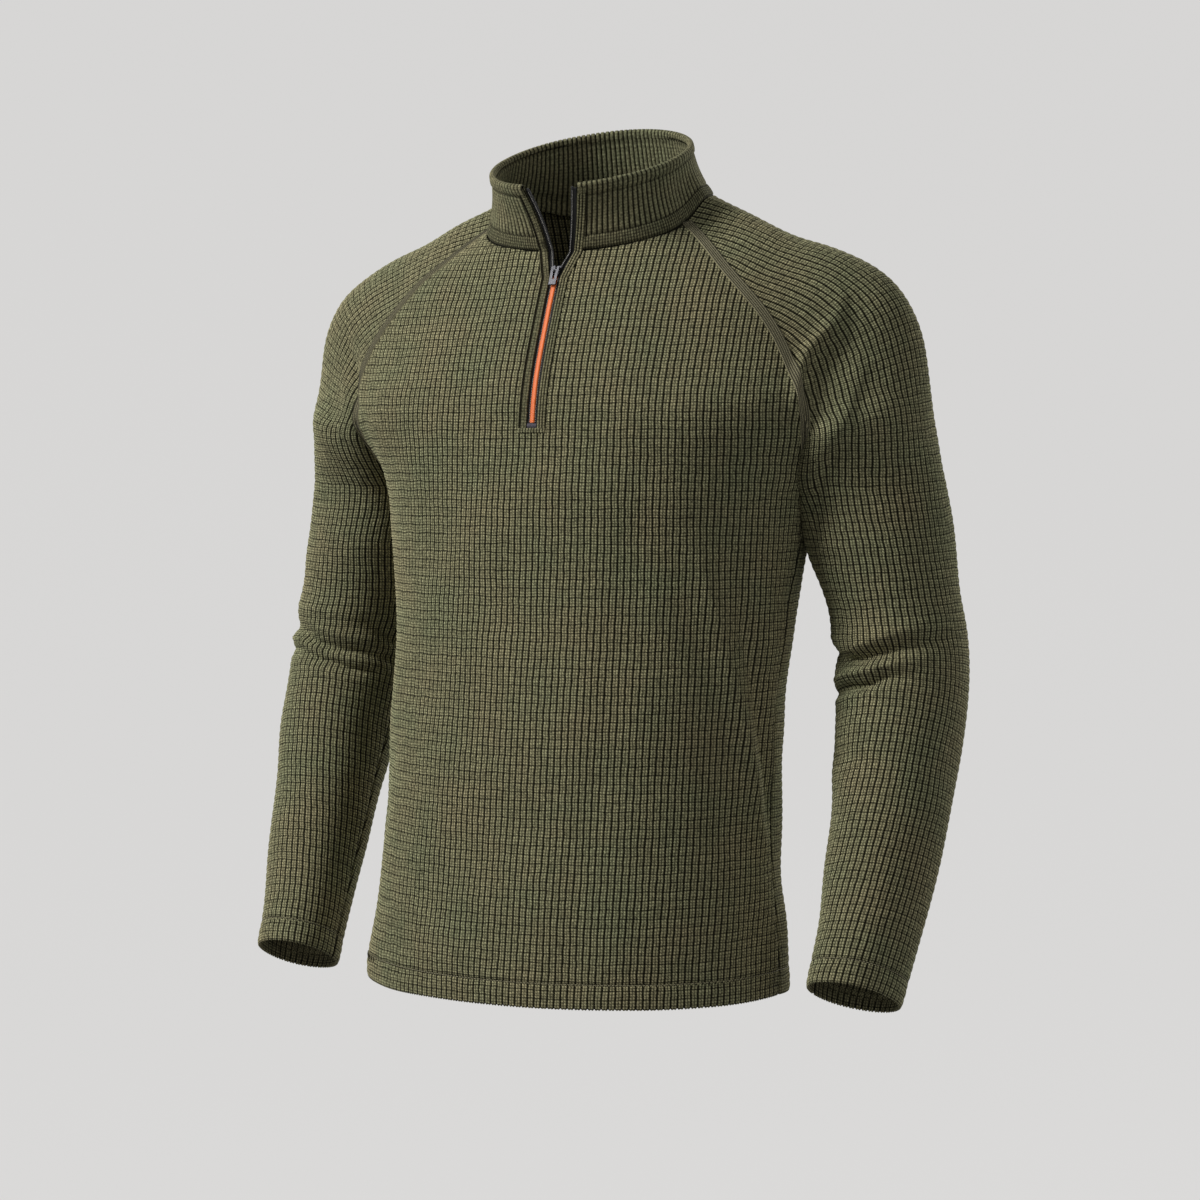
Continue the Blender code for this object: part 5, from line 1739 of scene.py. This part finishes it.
class MakeSeams(bpy.types.Operator):
    """Make the cover-stitched raglan seams and the stitches of hem and cuffs"""

    bl_idname = "knit_top.make_seams"
    bl_label = "Seams and stitching"

    def execute(self, context):
        for side in ("front", "back"):
            for mirror, word in SIDES:
                make_band(f"raglan_{side}_{word}", side, mirror)
        size = STITCH_LONG, THREAD, THREAD
        hem = [line_at(cloths[side], HEM_STITCH) for side in ("front", "back")]
        make_stitches("hem_stitches", hem, STITCH_PITCH, size)
        for word in ("left", "right"):
            cuff = [line_at(cloths["sleeve_" + word], HEM_STITCH)]
            make_stitches(f"cuff_stitches_{word}", cuff, STITCH_PITCH, size)
        return {"FINISHED"}


class MakeOpening(bpy.types.Operator):
    """Make the turned edges of the opening"""

    bl_idname = "knit_top.make_opening"
    bl_label = "Turned edges"

    def execute(self, context):
        for mirror, word in SIDES:
            make_welt("front_edge_" + word, mirror)
        make_welt_foot()
        return {"FINISHED"}


class MakeZip(bpy.types.Operator):
    """Make the zip's tapes, chain, coil halves and bottom stop"""

    bl_idname = "knit_top.make_zip"
    bl_label = "Zip"

    def execute(self, context):
        for mirror, word in SIDES:
            make_tape("zip_tape_weave_" + word, "zip_tape_" + word, mirror)
            make_coil("zip_coil_teeth_" + word, "zip_coil_" + word, mirror)
        make_chain()
        make_dots()
        make_bottom_stop()
        return {"FINISHED"}


class MakeSlider(bpy.types.Operator):
    """Make the slider and its pull tab"""

    bl_idname = "knit_top.make_slider"
    bl_label = "Slider and pull tab"

    def execute(self, context):
        make_slider()
        make_pull()
        return {"FINISHED"}


LIGHTS = {  # where each one is, and how wide
    "key": ((-2.5, -2.4, 2.2), 1.4),
    "fill": ((3.2, -1.6, 0.6), 2.4),
    "back": ((1.2, 3.6, 1.6), 1.8),
}
LIT_MIDDLE = 0.0, 0.0, -0.3  # the lights point at this
SKY_STRENGTH = 0.25
CAMERA_TURN = 27.0  # degrees from straight in front, towards the wearer's left
CAMERA_AWAY = 3.0  # metres
CAMERA_ASIDE = 0.013
CAMERA_HEIGHT = -0.223
CAMERA_DIP = 2.51  # degrees down
LENS = 102.6  # mm, on a sensor 36 mm wide
FLOOR_Z = -1.45


class SetStage(bpy.types.Operator):
    """Set up the floor and backdrop, the lights and the camera"""

    bl_idname = "knit_top.set_stage"
    bl_label = "Stage"

    def execute(self, context):
        stage = context.scene.knit_top_stage
        make_backdrop(stage)
        world = bpy.data.worlds.new("studio")
        world.use_nodes = True
        sky = world.node_tree.nodes["Background"].inputs
        sky["Color"].default_value = stage.backdrop
        sky["Strength"].default_value = SKY_STRENGTH
        context.scene.world = world
        context.scene.view_settings.view_transform = "Standard"
        for name, (place, wide) in LIGHTS.items():
            add_light(name, place, wide, getattr(stage, name + "_power"))
        set_camera()
        return {"FINISHED"}


def make_backdrop(stage):
    """A round bowl: a flat floor that curves up into a wall all round."""
    flat, bend, rim = 3.0, 3.5, 7.0
    profile = [(0.001, FLOOR_Z), (flat / 2, FLOOR_Z)]
    for turn in np.linspace(0, math.pi / 2, 17):
        profile.append((flat + bend * math.sin(turn), FLOOR_Z + bend * (1 - math.cos(turn))))
    profile.append((flat + bend, rim))
    angles = np.linspace(0, 2 * math.pi, 97)[:-1]
    radius, level = np.array(profile).T[:, :, None]
    x, y = radius * np.cos(angles), radius * np.sin(angles)
    grid = np.stack([x, y, level + 0 * angles], axis=-1)
    ids = np.arange(grid[..., 0].size).reshape(grid.shape[:2])
    quads = grid_faces(np.concatenate([ids, ids[:, :1]], axis=1))
    # Seamless studio paper: quite matt, lit so evenly that it shows no horizon.
    material, _, _ = new_material(
        "seamless_studio_paper", Roughness=0.95, Base_Color=(0.05, 0.05, 0.05, 1.0),
        Specular_IOR_Level=0.1, Emission_Color=stage.backdrop, Emission_Strength=0.95,
    )
    thing = new_object("backdrop", grid.reshape(-1, 3), [quads, ids[:1, ::-1]], None, material)
    thing.visible_diffuse = False
    thing.visible_shadow = False


def aim(thing, place, target):
    """Put a light or the camera at a place, pointing at a target."""
    thing.location = place
    way = Vector(target) - Vector(place)
    thing.rotation_euler = way.to_track_quat("-Z", "Y").to_euler()


def add_light(name, place, size, power):
    """A round soft light of so many metres and watts, pointing at the middle of the top."""
    light = bpy.data.lights.new(name, "AREA")
    light.shape = "DISK"
    light.size = size
    light.energy = power
    aim(put_in_scene(name, light), place, LIT_MIDDLE)


def set_camera():
    """The camera that fits the photo's outlines."""
    camera = bpy.data.cameras.new("camera")
    camera.lens = LENS
    camera.sensor_width = 36.0
    turn, dip = math.radians(CAMERA_TURN), math.radians(CAMERA_DIP)
    right = Vector((math.cos(turn), math.sin(turn), 0))
    back = Vector((math.sin(turn), -math.cos(turn), 0))
    place = back * CAMERA_AWAY + right * CAMERA_ASIDE + Vector((0, 0, CAMERA_HEIGHT))
    ahead = -back * math.cos(dip) - Vector((0, 0, math.sin(dip)))
    bpy.context.scene.camera = put_in_scene("camera", camera)
    aim(bpy.context.scene.camera, place, place + ahead)


OPERATORS = MakeBody, MakeSleeves, MakeCollar, MakeSeams, MakeOpening, MakeZip, MakeSlider, SetStage
GROUPS = {"knit_top_cloth": KnitTopCloth, "knit_top_zip": KnitTopZip, "knit_top_stage": KnitTopStage}


class KnitTopPanel(bpy.types.Panel):
    """Lists the steps and the settings"""

    bl_idname = "VIEW3D_PT_knit_top"
    bl_label = "Knit top"
    bl_space_type = "VIEW_3D"
    bl_region_type = "UI"
    bl_category = "Knit Top"

    def draw(self, context):
        for operator in OPERATORS:
            self.layout.operator(operator.bl_idname)
        for name, group in GROUPS.items():
            for setting in group.__annotations__:
                self.layout.prop(getattr(context.scene, name), setting)


def register():
    for item in (*GROUPS.values(), *OPERATORS, KnitTopPanel):
        bpy.utils.register_class(item)
    for name, group in GROUPS.items():
        setattr(bpy.types.Scene, name, bpy.props.PointerProperty(type=group))


def unregister():
    for name in GROUPS:
        delattr(bpy.types.Scene, name)
    for item in (KnitTopPanel, *OPERATORS[::-1], *list(GROUPS.values())[::-1]):
        bpy.utils.unregister_class(item)


def main():
    """Make the whole top and its stage."""
    register()
    for operator in OPERATORS:
        folder, name = operator.bl_idname.split(".")
        getattr(getattr(bpy.ops, folder), name)()


if __name__ == "__main__":
    main()
